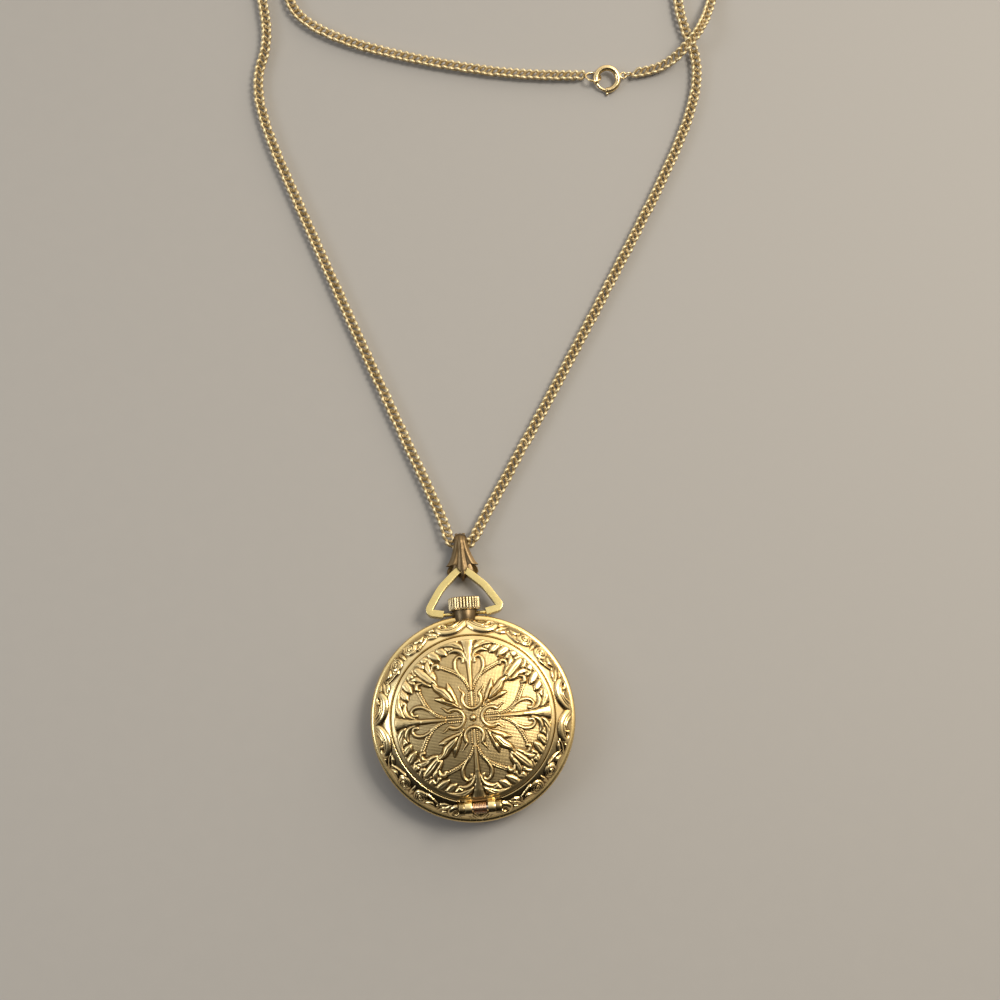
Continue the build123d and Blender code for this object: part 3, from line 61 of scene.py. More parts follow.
# Chain: a fine curb chain of twisted, slanted oval links in pale gold-tone wire, each link through the next.
# It closes on itself at the clasp, lies in two loops and passes through the bail's top.
chain_bed = 0.9
chain_route = [(*place, chain_bed)[:3] for place in (
    (40.0, 119.0), (43.4, 119.2), (47.2, 120.3, 1.4), (50.6, 122.6, 3.5), (53.4, 125.6, 3.5),
    (56.0, 130.6, 1.4), (58.4, 137.0), (60.6, 148.5), (59.0, 162.5), (50.0, 175.5), (35.0, 183.8),
    (17.5, 186.2), (-0.5, 183.2), (-16.0, 174.5), (-26.5, 161.5), (-30.6, 149.0), (-29.4, 138.5),
    (-28.8, 130.5), (-31.8, 122.5), (-30.2, 112.5), (-25.7, 99.4), (-17.6, 76.6), (-9.3, 53.7), (-4.6, 41.2),
    (-2.4, 34.8, 1.3), (-1.6, 30.9, 1.75), (2.1, 30.9, 1.75), (4.1, 34.4, 1.3), (8.1, 40.6), (16.3, 53.2),
    (31.6, 77.4), (45.4, 100.0), (51.6, 112.8), (52.9, 121.5), (50.2, 129.5), (50.4, 140.0), (53.0, 150.0),
    (50.0, 162.5), (41.0, 171.8), (28.5, 177.8), (13.5, 179.0), (-1.5, 175.2), (-13.0, 167.5), (-20.5, 155.5),
    (-24.6, 143.5), (-24.2, 136.2), (-16.5, 130.4), (-3.0, 125.4), (12.5, 121.4), (23.5, 119.7),
    (30.82, 119.24))]
link_pitch = 1.26
link_wire = 0.29
link_half_length = 0.95
link_half_width = 0.60
link_slant = 0.40
link_twist = 0.52


def new_finish(name, metallic):
    """A node material and its shader."""
    material = bpy.data.materials.new(name)
    material.use_nodes = True
    shader = material.node_tree.nodes["Principled BSDF"]
    shader.inputs["Metallic"].default_value = metallic
    return material, shader


def noise(material, scale, detail=4.0):
    """Fine mottling that is fixed to the piece."""
    place = material.node_tree.nodes.new("ShaderNodeTexCoord")
    cloud = material.node_tree.nodes.new("ShaderNodeTexNoise")
    cloud.inputs["Scale"].default_value = scale
    cloud.inputs["Detail"].default_value = detail
    material.node_tree.links.new(place.outputs["Object"], cloud.inputs["Vector"])
    return cloud.outputs["Fac"]


def value_range(tree, source, low, high, source_low=0.0):
    """Maps a value that runs from source_low to 1 onto another range."""
    change = tree.nodes.new("ShaderNodeMapRange")
    change.inputs["From Min"].default_value = source_low
    change.inputs["To Min"].default_value, change.inputs["To Max"].default_value = low, high
    tree.links.new(source, change.inputs["Value"])
    return change.outputs["Result"]


def colour_ramp(tree, source, stops, fade="LINEAR"):
    """A colour ramp through stops of position and colour."""
    ramp = tree.nodes.new("ShaderNodeValToRGB")
    ramp.color_ramp.interpolation = fade
    marks = ramp.color_ramp.elements
    marks[0].position, marks[1].position = stops[0][0], stops[-1][0]
    for place, _ in stops[1:-1]:
        marks.new(place)
    for mark, (_, colour) in zip(marks, stops):
        mark.color = (*colour, 1)
    tree.links.new(source, ramp.inputs["Fac"])
    return ramp.outputs["Color"]


def colour_mix(tree, factor, first, second, blend="MIX"):
    """Mixes two colours; the factor and the second colour are plain values or outputs."""
    mix = tree.nodes.new("ShaderNodeMix")
    mix.data_type, mix.blend_type = "RGBA", blend
    for value, socket in ((factor, mix.inputs["Factor"]), (first, mix.inputs["A"]), (second, mix.inputs["B"])):
        if isinstance(value, (float, tuple)):
            socket.default_value = value
        else:
            tree.links.new(value, socket)
    return mix.outputs["Result"]


def stored(tree, label):
    """A value stored on the mesh by store_values."""
    source = tree.nodes.new("ShaderNodeAttribute")
    source.attribute_name = label
    return source.outputs["Fac"]


def maths(tree, operation, first, second=None):
    """One operation on an output and a second output or a plain value."""
    step = tree.nodes.new("ShaderNodeMath")
    step.operation = operation
    tree.links.new(first, step.inputs[0])
    if isinstance(second, float):
        step.inputs[1].default_value = second
    elif second is not None:
        tree.links.new(second, step.inputs[1])
    return step.outputs["Value"]


def gold_metal(name, colour, roughness, grain=900.0, tarnish=0.35, relief=0.00001, painted_shade=False, ruled=0.0):
    """Gold-tone metal: colour and polish vary a little, fine scratches, and, where asked for, painted shade in the
    hollows beside embossed relief, with a darker tone on bare ground.
    """
    material, shader = new_finish(name, 1.0)
    tree = material.node_tree
    darker = [channel * (1 - tarnish) for channel in colour]
    worn = (darker[0], darker[1] * 0.96, darker[2] * 0.85)
    fresh = [min(1, channel * 1.06) for channel in colour]
    finish = colour_ramp(tree, noise(material, grain / 4), ((0.25, worn), (0.75, fresh)))
    # Painted shade: the colour darkens towards this dark tone where the stored values mark hollows and grooves; on
    # the cover's bare ground the same mix gives the metal's own darker tone.
    if painted_shade:
        shade_and_patina_colour = (colour[0] * 0.17, colour[1] * 0.125, colour[2] * 0.08, 1)
        finish = colour_mix(tree, stored(tree, "painted_shade_and_ground_tone"), finish, shade_and_patina_colour)
    tree.links.new(finish, shader.inputs["Base Color"])
    height = noise(material, grain * 3, 3.0)
    tree.links.new(value_range(tree, height, roughness * 0.75, min(1.0, roughness * 1.35)),
                   shader.inputs["Roughness"])
    if ruled:
        axes = tree.nodes.new("ShaderNodeSeparateXYZ")
        tree.links.new(tree.nodes.new("ShaderNodeTexCoord").outputs["Object"], axes.inputs["Vector"])
        waves = []
        for axis, share in (("Y", 0.7), ("X", 0.45)):
            turns = maths(tree, "MULTIPLY", axes.outputs[axis], 2 * pi / ruled)
            waves.append(maths(tree, "MULTIPLY", maths(tree, "SINE", turns), share))
        ruling = maths(tree, "MULTIPLY", maths(tree, "ADD", *waves), stored(tree, "ground"))
        height = maths(tree, "ADD", ruling, height)
    bump = tree.nodes.new("ShaderNodeBump")
    bump.inputs["Strength"].default_value = 0.6
    bump.inputs["Distance"].default_value = relief
    tree.links.new(height, bump.inputs["Height"])
    tree.links.new(bump.outputs["Normal"], shader.inputs["Normal"])
    return material


def plain_finish(name, colour, roughness, metallic=0.0, grain=900.0, spread=0.06):
    """A plain procedural finish whose tone and gloss vary slightly."""
    material, shader = new_finish(name, metallic)
    tree, cloud = material.node_tree, noise(material, grain)
    tones = [channel * (1 - spread) for channel in colour], [min(1, channel * (1 + spread)) for channel in colour]
    tree.links.new(colour_ramp(tree, cloud, ((0.3, tones[0]), (0.7, tones[1]))), shader.inputs["Base Color"])
    tree.links.new(value_range(tree, cloud, roughness * 0.8, min(1.0, roughness * 1.25)),
                   shader.inputs["Roughness"])
    return material


def choose(active, *others):
    """Selects these objects alone and makes the first one active."""
    bpy.ops.object.select_all(action="DESELECT")
    for piece in (active, *others):
        piece.select_set(True)
    bpy.context.view_layer.objects.active = active


def join(active, *others):
    """Joins the others' meshes into the first one."""
    choose(active, *others)
    bpy.ops.object.join()


def read_points(piece):
    """A piece's mesh points, in millimetres."""
    points = np.zeros(len(piece.data.vertices) * 3)
    piece.data.vertices.foreach_get("co", points)
    return points.reshape(-1, 3) / mm


def write_points(piece, points):
    piece.data.vertices.foreach_set("co", (points * mm).reshape(-1))


def store_values(piece, label, values):
    """Stores one value for each point, which a finish reads."""
    store = piece.data.attributes.new(label, "FLOAT", "POINT")
    store.data.foreach_set("value", np.array(values, np.float32))


def distances(line):
    """The distance of each point of a line from its start."""
    return np.concatenate([[0.0], np.cumsum(np.linalg.norm(np.diff(line, axis=0), axis=1))])


def new_piece(name, points, faces, edges=()):
    """A mesh object from points in millimetres."""
    mesh = bpy.data.meshes.new(name)
    mesh.from_pydata([tuple(float(value) * mm for value in point) for point in points], list(edges), faces)
    piece = bpy.data.objects.new(name, mesh)
    bpy.context.scene.collection.objects.link(piece)
    return piece


def paint(piece, material):
    piece.data.materials.clear()
    piece.data.materials.append(material)


def fit(piece, body, slot, material, *nodes):
    """Gives a piece its finish and puts it on its CAD body in place of its plain nodes."""
    paint(piece, material)
    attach(piece, body)
    if nodes:
        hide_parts(*nodes)
    return piece


guide_curve = bpy.data.curves.new("chain_guide", "CURVE")
guide_curve.dimensions = "3D"
guide_curve.resolution_u = 24
guide_spline = guide_curve.splines.new("NURBS")
guide_spline.points.add(len(chain_route) - 1)
for control, (x, y, z) in zip(guide_spline.points, chain_route):
    control.co = (x * mm, y * mm, z * mm, 1.0)
guide_spline.order_u = 3
guide_spline.use_endpoint_u = True
guide = bpy.data.objects.new("chain_guide", guide_curve)
bpy.context.scene.collection.objects.link(guide)
bpy.context.view_layer.update()
guide_mesh = bpy.data.meshes.new_from_object(guide.evaluated_get(bpy.context.evaluated_depsgraph_get()))
guide_line = np.array([vertex.co[:] for vertex in guide_mesh.vertices]) / mm
bpy.data.objects.remove(guide)
bpy.data.meshes.remove(guide_mesh)
guide_reach = distances(guide_line)
chain_length = float(guide_reach[-1])


def chain_point(reach):
    """Place and heading on the chain's line at a distance from its start."""
    here, ahead, behind = (np.array([np.interp(place, guide_reach, guide_line[:, axis]) for axis in range(3)])
                           for place in (reach, min(reach + 0.4, chain_length), max(reach - 0.4, 0)))
    return here, (ahead - behind) / np.linalg.norm(ahead - behind)


link_turns, wire_sides = 16, 7
link_count = int((chain_length - 2 * link_half_length) / link_pitch)
link_pitch = (chain_length - 2 * link_half_length) / link_count
shake = np.random.default_rng(7)
around = np.arange(link_turns) * 2 * pi / link_turns
link_line = np.stack([link_half_length * np.cos(around),
                      link_half_width * np.sin(around) + link_slant * np.cos(around),
                      link_twist * np.sin(2 * around)], 1)
link_heading = np.stack([-link_half_length * np.sin(around),
                         link_half_width * np.cos(around) - link_slant * np.sin(around),
                         2 * link_twist * np.cos(2 * around)], 1)
link_heading /= np.linalg.norm(link_heading, axis=1)[:, None]
outward = link_line * np.array([0.6, 1.0, 0.0])
outward -= link_heading * np.sum(outward * link_heading, 1)[:, None]
outward /= np.linalg.norm(outward, axis=1)[:, None]
sideways = np.cross(link_heading, outward)
side = np.arange(wire_sides) * 2 * pi / wire_sides
one_link = (link_line[:, None] + link_wire * (outward[:, None] * np.cos(side)[None, :, None]
                                              + sideways[:, None] * np.sin(side)[None, :, None])).reshape(-1, 3)
rounds = [turn * wire_sides for turn in range(link_turns)]
one_faces = [(first + edge, second + edge, second + (edge + 1) % wire_sides, first + (edge + 1) % wire_sides)
             for first, second in zip(rounds, rounds[1:] + rounds[:1]) for edge in range(wire_sides)]
chain_points, chain_faces = [], []
for link in range(link_count + 1):
    here, heading = chain_point(link_half_length + link * link_pitch)
    across = np.cross([0.0, 0.0, 1.0], heading)
    across /= np.linalg.norm(across)
    upward = np.cross(heading, across)
    roll = shake.normal(0, 0.10)
    across, upward = across * cos(roll) + upward * sin(roll), upward * cos(roll) - across * sin(roll)
    first = len(chain_faces) // len(one_faces) * len(one_link)
    chain_points.append(here + one_link @ np.array([heading, across, upward]))
    chain_faces += [tuple(first + corner for corner in face) for face in one_faces]
chain = new_piece("curb_chain", np.concatenate(chain_points), chain_faces)
chain.data.shade_smooth()
chain_gold = gold_metal("chain_gold", (0.61, 0.50, 0.31), 0.50, 1500.0, 0.10)
fit(chain, "chain_body", "gold_chain", chain_gold, "chain")

# Clasp: a spring ring with a sliding trigger and its thumb knob, a soldered eyelet on one side and an
# open-wound jump ring on the other. All of it is drawn wire in the chain's gold tone, polished.
clasp_centre = Matrix.Translation((35.1, 118.2, 1.12))
clasp_place = clasp_centre @ Matrix.Rotation(radians(14), 4, "X")
clasp_radius, clasp_wire = 2.1, 0.56
clasp_gap_start, clasp_gap, trigger_wire = 200.0, 60.0, 0.27
knob_radius, knob_reach, knob_turn = 0.36, 2.72, 267
clasp_gold = gold_metal("clasp_gold", (0.74, 0.57, 0.31), 0.26, 1200.0, 0.20)


def ring_faces(rings, sides):
    """Faces between rings of points, with both ends capped."""
    faces = [(here + edge, here + (edge + 1) % sides, here + sides + (edge + 1) % sides, here + sides + edge)
             for here in range(0, (rings - 1) * sides, sides) for edge in range(sides)]
    return faces + [tuple(range(sides))[::-1], tuple((rings - 1) * sides + edge for edge in range(sides))]


def tube_along(name, line, radii, sides=16):
    """A round tube along a line of points, with its own radius at each point and capped ends."""
    line = np.asarray(line, float)
    heading = np.gradient(line, axis=0)
    heading /= np.linalg.norm(heading, axis=1)[:, None]
    normal = np.cross(heading[0], [0.0, 0.0, 1.0])
    if np.linalg.norm(normal) < 0.1:
        normal = np.cross(heading[0], [1.0, 0.0, 0.0])
    points = []
    angle = np.arange(sides) * 2 * pi / sides
    for here, ahead, radius in zip(line, heading, radii):
        normal = normal - ahead * (normal @ ahead)
        normal /= np.linalg.norm(normal)
        binormal = np.cross(ahead, normal)
        points += list(here + radius * (np.cos(angle)[:, None] * normal + np.sin(angle)[:, None] * binormal))
    piece = new_piece(name, points, ring_faces(len(line), sides))
    piece.data.shade_smooth()
    return piece


def round_place(radius, turn):
    """The point at a radius and an angle in degrees."""
    return radius * cos(radians(turn)), radius * sin(radians(turn))


def arc_line(radius, start, span, steps):
    return [(*round_place(radius, start + span * step / steps), 0.0) for step in range(steps + 1)]


def set_down(piece, matrix):
    """Places a piece made about the origin, in millimetres, by moving its mesh."""
    scaled = matrix.copy()
    scaled.translation = matrix.translation * mm
    piece.data.transform(scaled)
    return piece


ring_line = arc_line(clasp_radius, clasp_gap_start + clasp_gap, 360 - clasp_gap, 90)
ring_radii = [clasp_wire * min(1.0, 0.86 + 0.07 * min(step, 90 - step)) for step in range(91)]
clasp_ring = set_down(tube_along("clasp_ring_wire", ring_line, ring_radii, 20), clasp_place)
fit(clasp_ring, "chain_body", "gold_chain", clasp_gold, "clasp_ring")
trigger_line = arc_line(clasp_radius, 197, 88, 30)
trigger = set_down(tube_along("clasp_trigger_wire", trigger_line, [trigger_wire] * 31, 14), clasp_place)
bpy.ops.object.select_all(action="DESELECT")
bpy.ops.mesh.primitive_uv_sphere_add(segments=20, ring_count=12, radius=knob_radius * mm)
knob = bpy.context.object
knob.name = "clasp_knob"
for vertex in knob.data.vertices:
    vertex.co.x *= 0.75
    vertex.co.z *= 0.8
knob.data.transform(Matrix.Translation([value * mm for value in (*round_place(knob_reach, knob_turn), 0)]))
knob.data.shade_smooth()
set_down(knob, clasp_place)
join(trigger, knob)
fit(trigger, "trigger", "gold_chain", clasp_gold, "clasp_trigger")


def wire_ring(name, turn, distance, tilt, radius, wire, gap):
    """A ring of wire on the clasp's line, with the small seam where its two ends meet."""
    line = arc_line(radius, 95 + gap / 2, 360 - gap, 48)
    piece = tube_along(name, line, [wire] * 49, 12)
    place = (clasp_centre @ Matrix.Rotation(radians(turn), 4, "Z") @ Matrix.Translation((distance, 0, 0))
             @ Matrix.Rotation(radians(tilt), 4, "X"))
    return set_down(piece, place)


jump_rings = wire_ring("jump_ring_large", -13.7, -2.66, -33, 1.42, 0.2, 3)
join(jump_rings, wire_ring("jump_ring_small", 9.1, 4.12, 90, 0.64, 0.15, 5))
fit(jump_rings, "chain_body", "gold_chain", clasp_gold, "jump_rings")
clasp_eyelet = wire_ring("clasp_eyelet_wire", 9.1, 3.22, 14, 0.55, 0.16, 0.5)
fit(clasp_eyelet, "chain_body", "gold_chain", clasp_gold, "clasp_eyelet")
paint(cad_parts["clasp_spring"], clasp_gold)

# Case middle and back: turned from brass and gilt. The middle has a plain rolled rim, and the dished back
# snaps into it from below.


def turn_on_lathe(name, profile, steps):
    """Spins a profile of radius and height once round Z and closes it, as a lathe would."""
    edges = [(point, point + 1) for point in range(len(profile) - 1)]
    piece = new_piece(name, [(radius, 0.0, height) for radius, height in profile], [], edges)
    choose(piece)
    bpy.ops.object.mode_set(mode="EDIT")
    bpy.ops.mesh.select_all(action="SELECT")
    bpy.ops.mesh.spin(steps=steps, angle=2 * pi, center=(0, 0, 0), axis=(0, 0, 1))
    bpy.ops.mesh.select_all(action="SELECT")
    bpy.ops.mesh.remove_doubles(threshold=0.000002)
    bpy.ops.mesh.normals_make_consistent(inside=False)
    bpy.ops.object.mode_set(mode="OBJECT")
    piece.data.shade_smooth()
    return piece


def sharpen(piece, angle=35):
    """Shades edges under the angle as smooth and leaves the others sharp."""
    choose(piece)
    bpy.ops.object.shade_smooth_by_angle(angle=radians(angle))
    return piece


def ease_edges(piece, width, limit):
    """Rounds the edges that turn by more than the limit."""
    ease = piece.modifiers.new("eased_edges", "BEVEL")
    ease.width, ease.segments = width * mm, 2
    ease.limit_method, ease.angle_limit = "ANGLE", radians(limit)
    bpy.ops.object.modifier_apply(modifier=ease.name)


def arc_points(start, middle, end, steps):
    """Points on the arc through three places."""
    first, via, last = (complex(*place) for place in (start, middle, end))
    ratio = (last - first) / (via - first)
    centre = first + (via - first) * (ratio - abs(ratio) ** 2) / (2j * ratio.imag)
    spoke = first - centre
    span = phase((last - centre) / spoke) % (2 * pi)
    if phase((via - centre) / spoke) % (2 * pi) > span:
        span -= 2 * pi
    arc = [centre + spoke * rect(1, span * step / steps) for step in range(steps + 1)]
    return [(place.real, place.imag) for place in arc]


case_gold = gold_metal("case_gold", (0.78, 0.58, 0.26), 0.24, 700.0, 0.16, 0.000008)
rim_profile = ([(13.4, 4.9)] + arc_points((17.3, 4.9), (18.0, 4.2), (17.3, 3.5), 18)
               + [(16.3, 1.9), (14.6, 1.9), (14.6, 2.66), (13.4, 2.66), (13.4, 4.9)])
case_middle = sharpen(turn_on_lathe("case_middle", rim_profile, 256))
fit(case_middle, "case", "gold_case", case_gold, "case_band")
back_profile = ([(0, 0), (10.6, 0), (11.0, 0.03)] + [(11.0 + 4.4 * share, 1.3 * share + 0.12 * sin(pi * share))
                                                    for share in (0.1, 0.3, 0.5, 0.7, 0.9)]
                + [(15.4, 1.32), (16.2, 1.82), (16.3, 1.9), (14.57, 1.9), (14.57, 2.5), (14.0, 2.5), (14.0, 1.48),
                   (10.9, 0.55), (0, 0.55)])
case_back = sharpen(turn_on_lathe("case_back_cover", back_profile, 256), 40)
fit(case_back, "case", "gold_case", case_gold, "case_back")

# Cover: a thin brass shell stamped with a four-fold pattern of scrolls, beads and leaves on a finely ruled
# ground, gilt, with painted shade in the hollows and a darker tone on the bare ground. Its rim and seating flange
# are plain.
cover_top_z = 9.9
cover_shoulder_radius, cover_shoulder_z, cover_wall = 13.6, 7.93, 0.45
dome_rise = cover_top_z - cover_shoulder_z
dome_ball = (cover_shoulder_radius ** 2 + dome_rise ** 2) / (2 * dome_rise)
relief_rings, relief_spokes = 156, 560
pattern_scale = 1.035


def dome_height(radius, wall=0.0):
    return cover_top_z - dome_ball + np.sqrt((dome_ball - wall) ** 2 - np.asarray(radius, float) ** 2)


def smooth_line(points, steps=6):
    """A smooth line through given points."""
    points = [np.array(point, float) for point in points]
    padded = [2 * points[0] - points[1]] + points + [2 * points[-1] - points[-2]]
    line = []
    for first, second, third, fourth in zip(padded, padded[1:], padded[2:], padded[3:]):
        for step in range(steps):
            t = step / steps
            bend, twist = 2 * first - 5 * second + 4 * third - fourth, 3 * second - first - 3 * third + fourth
            line.append(0.5 * (2 * second + (third - first) * t + bend * t ** 2 + twist * t ** 3))
    line.append(points[-1])
    return np.array(line)


def curl(centre, outer, inner, start, turns, steps=44):
    """A spiral scroll that winds in towards its centre."""
    radii = np.linspace(outer, inner, steps + 1)
    angles = np.radians(start + 360 * turns * np.linspace(0, 1, steps + 1))
    return [(centre[0] + radius * cos(angle), centre[1] + radius * sin(angle))
            for radius, angle in zip(radii, angles)]


def nearest_arms(bearing):
    """Bearings of the nearest upright or level arm and of the nearest diagonal."""
    quarter = pi / 2
    return (np.round(bearing / quarter) * quarter,
            np.round((bearing - quarter / 2) / quarter) * quarter + quarter / 2)


def raise_line(field, line, width, height, moat=0.16):
    """Raises a rounded ridge along a line, over whatever lies under it, with a groove along both its edges."""
    relief, along, across = field
    line = np.asarray(line, float)
    widths = np.interp(np.linspace(0, 1, len(line)), np.linspace(0, 1, len(np.atleast_1d(width))),
                       np.atleast_1d(width))
    reach = widths.max() + moat
    low, high = line.min(0) - reach, line.max(0) + reach
    near = np.nonzero((along > low[0]) & (along < high[0]) & (across > low[1]) & (across < high[1]))[0]
    if not len(near):
        return
    beyond, lift = np.full(len(near), 9.0), np.zeros(len(near))
    for start, end, wide, wide_end in zip(line, line[1:], widths, widths[1:]):
        step = end - start
        length = max(step @ step, 1e-9)
        share = np.clip(((along[near] - start[0]) * step[0] + (across[near] - start[1]) * step[1]) / length, 0, 1)
        gap = np.hypot(along[near] - start[0] - share * step[0], across[near] - start[1] - share * step[1])
        local = np.maximum(wide + (wide_end - wide) * share, 1e-3)
        beyond = np.minimum(beyond, gap - local)
        ridge = np.clip(1 - (gap / local) ** 2, 0, 1) ** 0.42 * np.minimum(1, 0.35 + local / 0.4 * 0.65)
        lift = np.maximum(lift, height * ridge)
    under = relief[near] * np.clip(beyond / moat, 0, 1) ** 0.5
    relief[near] = np.where(beyond < 0, np.maximum(lift, 0), under)


def raise_beads(field, line, pitch, radius, height):
    """Raises a row of small domes along a line."""
    relief, along, across = field
    line = np.asarray(line, float)
    reach = distances(line)
    for place in np.arange(0, reach[-1], pitch):
        x, y = np.interp(place, reach, line[:, 0]), np.interp(place, reach, line[:, 1])
        near = np.nonzero((abs(along - x) < radius) & (abs(across - y) < radius))[0]
        gap = np.hypot(along[near] - x, across[near] - y)
        relief[near] = np.maximum(relief[near], height * np.sqrt(np.clip(1 - (gap / radius) ** 2, 0, 1)))


def cut_line(field, line, width, depth):
    """Cuts a narrow vein along a line, only where the relief is already raised."""
    relief, along, across = field
    vein = np.zeros_like(relief)
    raise_line((vein, along, across), line, width, depth)
    relief -= np.minimum(vein, np.maximum(relief, 0))


dome_radii = np.linspace(0, cover_shoulder_radius, relief_rings)
cover_profile = [(radius, float(dome_height(radius))) for radius in dome_radii]
cover_profile += [(13.85, 7.86), (14.08, 7.76), (14.2, 7.62), (14.2, 7.26), (14.12, 7.18), (12.6, 7.18),
                  (12.6, 7.78), (12.2, 7.78), (12.2, float(dome_height(12.2, cover_wall)))]
cover_profile += [(radius, float(dome_height(radius, cover_wall))) for radius in (10, 8, 6, 4, 2, 0)]
cover = turn_on_lathe("cover_embossed", cover_profile, relief_spokes)
cover_points = read_points(cover)
spread = np.hypot(cover_points[:, 0], cover_points[:, 1])
dome_line = dome_height(np.minimum(spread, cover_shoulder_radius))
on_top = (spread < cover_shoulder_radius - 0.02) & (abs(cover_points[:, 2] - dome_line) < 0.02)
bearing = np.arctan2(cover_points[:, 1], cover_points[:, 0])
arm, diagonal = nearest_arms(bearing)
pattern = spread / pattern_scale
out, aside = pattern * np.cos(bearing - arm), abs(pattern * np.sin(bearing - arm))
leaf_out, leaf_aside = pattern * np.cos(bearing - diagonal), pattern * np.sin(bearing - diagonal)
relief = np.zeros(len(cover_points))
on_arm, on_diagonal = (relief, out, aside), (relief, leaf_out, leaf_aside)
branch_beads = smooth_line([(4.7, 0.38), (5.8, 0.85), (6.8, 1.6), (7.6, 2.7), (8.2, 3.9), (8.7, 5.0)])
raise_line(on_arm, branch_beads + np.array([0.30, -0.12]), [0.06, 0.13, 0.13, 0.08], 0.26, 0.06)
raise_beads(on_arm, branch_beads, 0.36, 0.17, 0.30)
rim_stem = [round_place(12.98, turn) for turn in range(9, 46, 4)]
raise_line(on_arm, rim_stem, [0.40, 0.30, 0.30, 0.26], 0.30, 0.12)
rim_lobes = ((14.5, 11.5, 0.62), (21.0, 11.35, 0.66), (28.0, 11.1, 0.70), (35.0, 11.3, 0.64), (41.0, 11.7, 0.50))
for turn, tip, wide in rim_lobes:
    lobe = smooth_line([round_place(reach, turn + lean)
                        for reach, lean in ((13.1, 2.5), (12.5, 1.6), (11.9, 0.0), (tip, -1.8))])
    raise_line(on_arm, lobe, [0.30, wide, wide * 0.9, 0.22], 0.34, 0.24)
    cut_line(on_arm, lobe, [0.03, 0.10, 0.09, 0.02], 0.16)
for line, widths, height, moat in (
        ([(9.6, 0.2), (10.9, 0.7), (11.9, 1.5), (12.45, 2.8), (12.35, 4.2), (11.8, 5.4)],
         [0.12, 0.34, 0.52, 0.56, 0.42, 0.10], 0.38, 0.16),
        ([(8.6, 0.15), (9.9, 0.5), (10.9, 1.15), (11.3, 2.2), (11.0, 3.2)],
         [0.10, 0.26, 0.36, 0.34, 0.08], 0.40, 0.16),
        ([(6.3, 1.0), (7.2, 1.75), (8.4, 2.35), (9.6, 2.3), (10.2, 1.65), (9.9, 1.0), (9.3, 1.0)],
         [0.08, 0.16, 0.22, 0.22, 0.20, 0.17, 0.20], 0.36, 0.12)):
    raise_line(on_arm, smooth_line(line), widths, height, moat)
raise_line(on_arm, [(4.2, 0), (6.0, 0), (8.4, 0), (10.2, 0), (11.6, 0), (13.2, 0)],
           [0.15, 0.24, 0.34, 0.50, 0.84, 1.15], 0.42, 0.20)
for vein in (0.0, 0.30, 0.62, 0.95):
    cut_line(on_arm, [(8.6, vein * 0.25), (10.4, vein * 0.5), (13.2, vein * 1.1)], [0.03, 0.08, 0.11], 0.18)
cut_line(on_arm, [(4.6, 0.0), (8.2, 0.0)], [0.04, 0.08], 0.16)
cut_line(on_arm, smooth_line([(10.6, 0.55), (11.7, 1.4), (12.3, 2.7), (12.2, 4.1)]), [0.04, 0.09, 0.09, 0.03], 0.16)
cut_line(on_arm, smooth_line([(10.9, 0.95), (11.9, 1.9), (12.6, 3.1), (12.4, 4.4)]), [0.02, 0.07, 0.07, 0.02], 0.14)
raise_line(on_arm, [(1.8, 0), (4.3, 0)], 0.12, 0.20, 0.05)
raise_beads(on_arm, [(2.0, 0.44), (4.1, 0.50)], 0.34, 0.15, 0.22)
loop = [(3.05 + 1.55 * cos(radians(a)), 1.55 * sin(radians(a))) for a in range(180, 46, -9)]
loop += [(4.35, 1.45), (4.75, 1.85), (5.3, 2.1)]
raise_line(on_arm, smooth_line(loop, 2), [0.25, 0.27, 0.27, 0.30, 0.05], 0.46, 0.20)
for side in (-1, 1):
    flare = smooth_line([(8.4, 0.1), (9.3, side * 0.62), (10.3, side * 0.95), (11.3, side * 1.35),
                         (11.9, side * 2.15)])
    raise_line(on_diagonal, flare, [0.24, 0.50, 0.54, 0.46, 0.06], 0.42, 0.30)
    cut_line(on_diagonal, flare, [0.03, 0.10, 0.10, 0.03], 0.18)
    lip = smooth_line([(10.2, side * 1.3), (10.6, side * 2.0), (10.2, side * 2.6), (9.7, side * 2.4)])
    raise_line(on_diagonal, lip, [0.10, 0.30, 0.32, 0.22], 0.46, 0.20)
petal = smooth_line([(7.4, 0.35), (8.6, 0.1), (9.7, 0.1), (10.9, 0.15), (12.1, 0.2), (12.9, 0.3)])
raise_line(on_diagonal, petal, [0.30, 0.40, 0.58, 0.70, 0.56, 0.08], 0.50, 0.26)
cut_line(on_diagonal, petal, [0.02, 0.06, 0.12, 0.14, 0.08, 0.02], 0.20)
for blade, wide in (([(2.5, 0.05), (3.6, 0.15), (4.6, 0.55), (5.6, 1.05), (6.9, 1.9)],
                     [0.14, 0.40, 0.62, 0.50, 0.04]),
                    ([(3.2, 0.05), (4.6, -0.3), (5.8, -0.8), (7.0, -1.5)], [0.14, 0.52, 0.52, 0.04]),
                    ([(4.2, 0.1), (5.4, 0.15), (6.6, 0.1), (7.6, 0.35), (8.6, 0.2)],
                     [0.16, 0.60, 0.66, 0.44, 0.22])):
    raise_line(on_diagonal, smooth_line(blade), wide, 0.54, 0.24)
    cut_line(on_diagonal, smooth_line(blade), [0.02, 0.10, 0.10, 0.03], 0.18)
raise_line(on_arm, [(0, 0), (0.01, 0)], 0.44, 0.36)
rim_band = np.clip((spread - 13.42) / 0.14, 0, 1)
relief = np.maximum(relief * (1 - rim_band), rim_band * 0.10)
raised = np.where(on_top, relief, 0)
slope = spread / dome_ball
lean = np.stack([cover_points[:, 0] / dome_ball, cover_points[:, 1] / dome_ball, np.sqrt(1 - slope ** 2)], 1)
cover_points += lean * raised[:, None]
write_points(cover, cover_points)
# Painted shade is at its darkest where the metal lies this far, in millimetres, under the blurred relief round it.
full_shade_depth, bare_ground = 0.045, 0.02


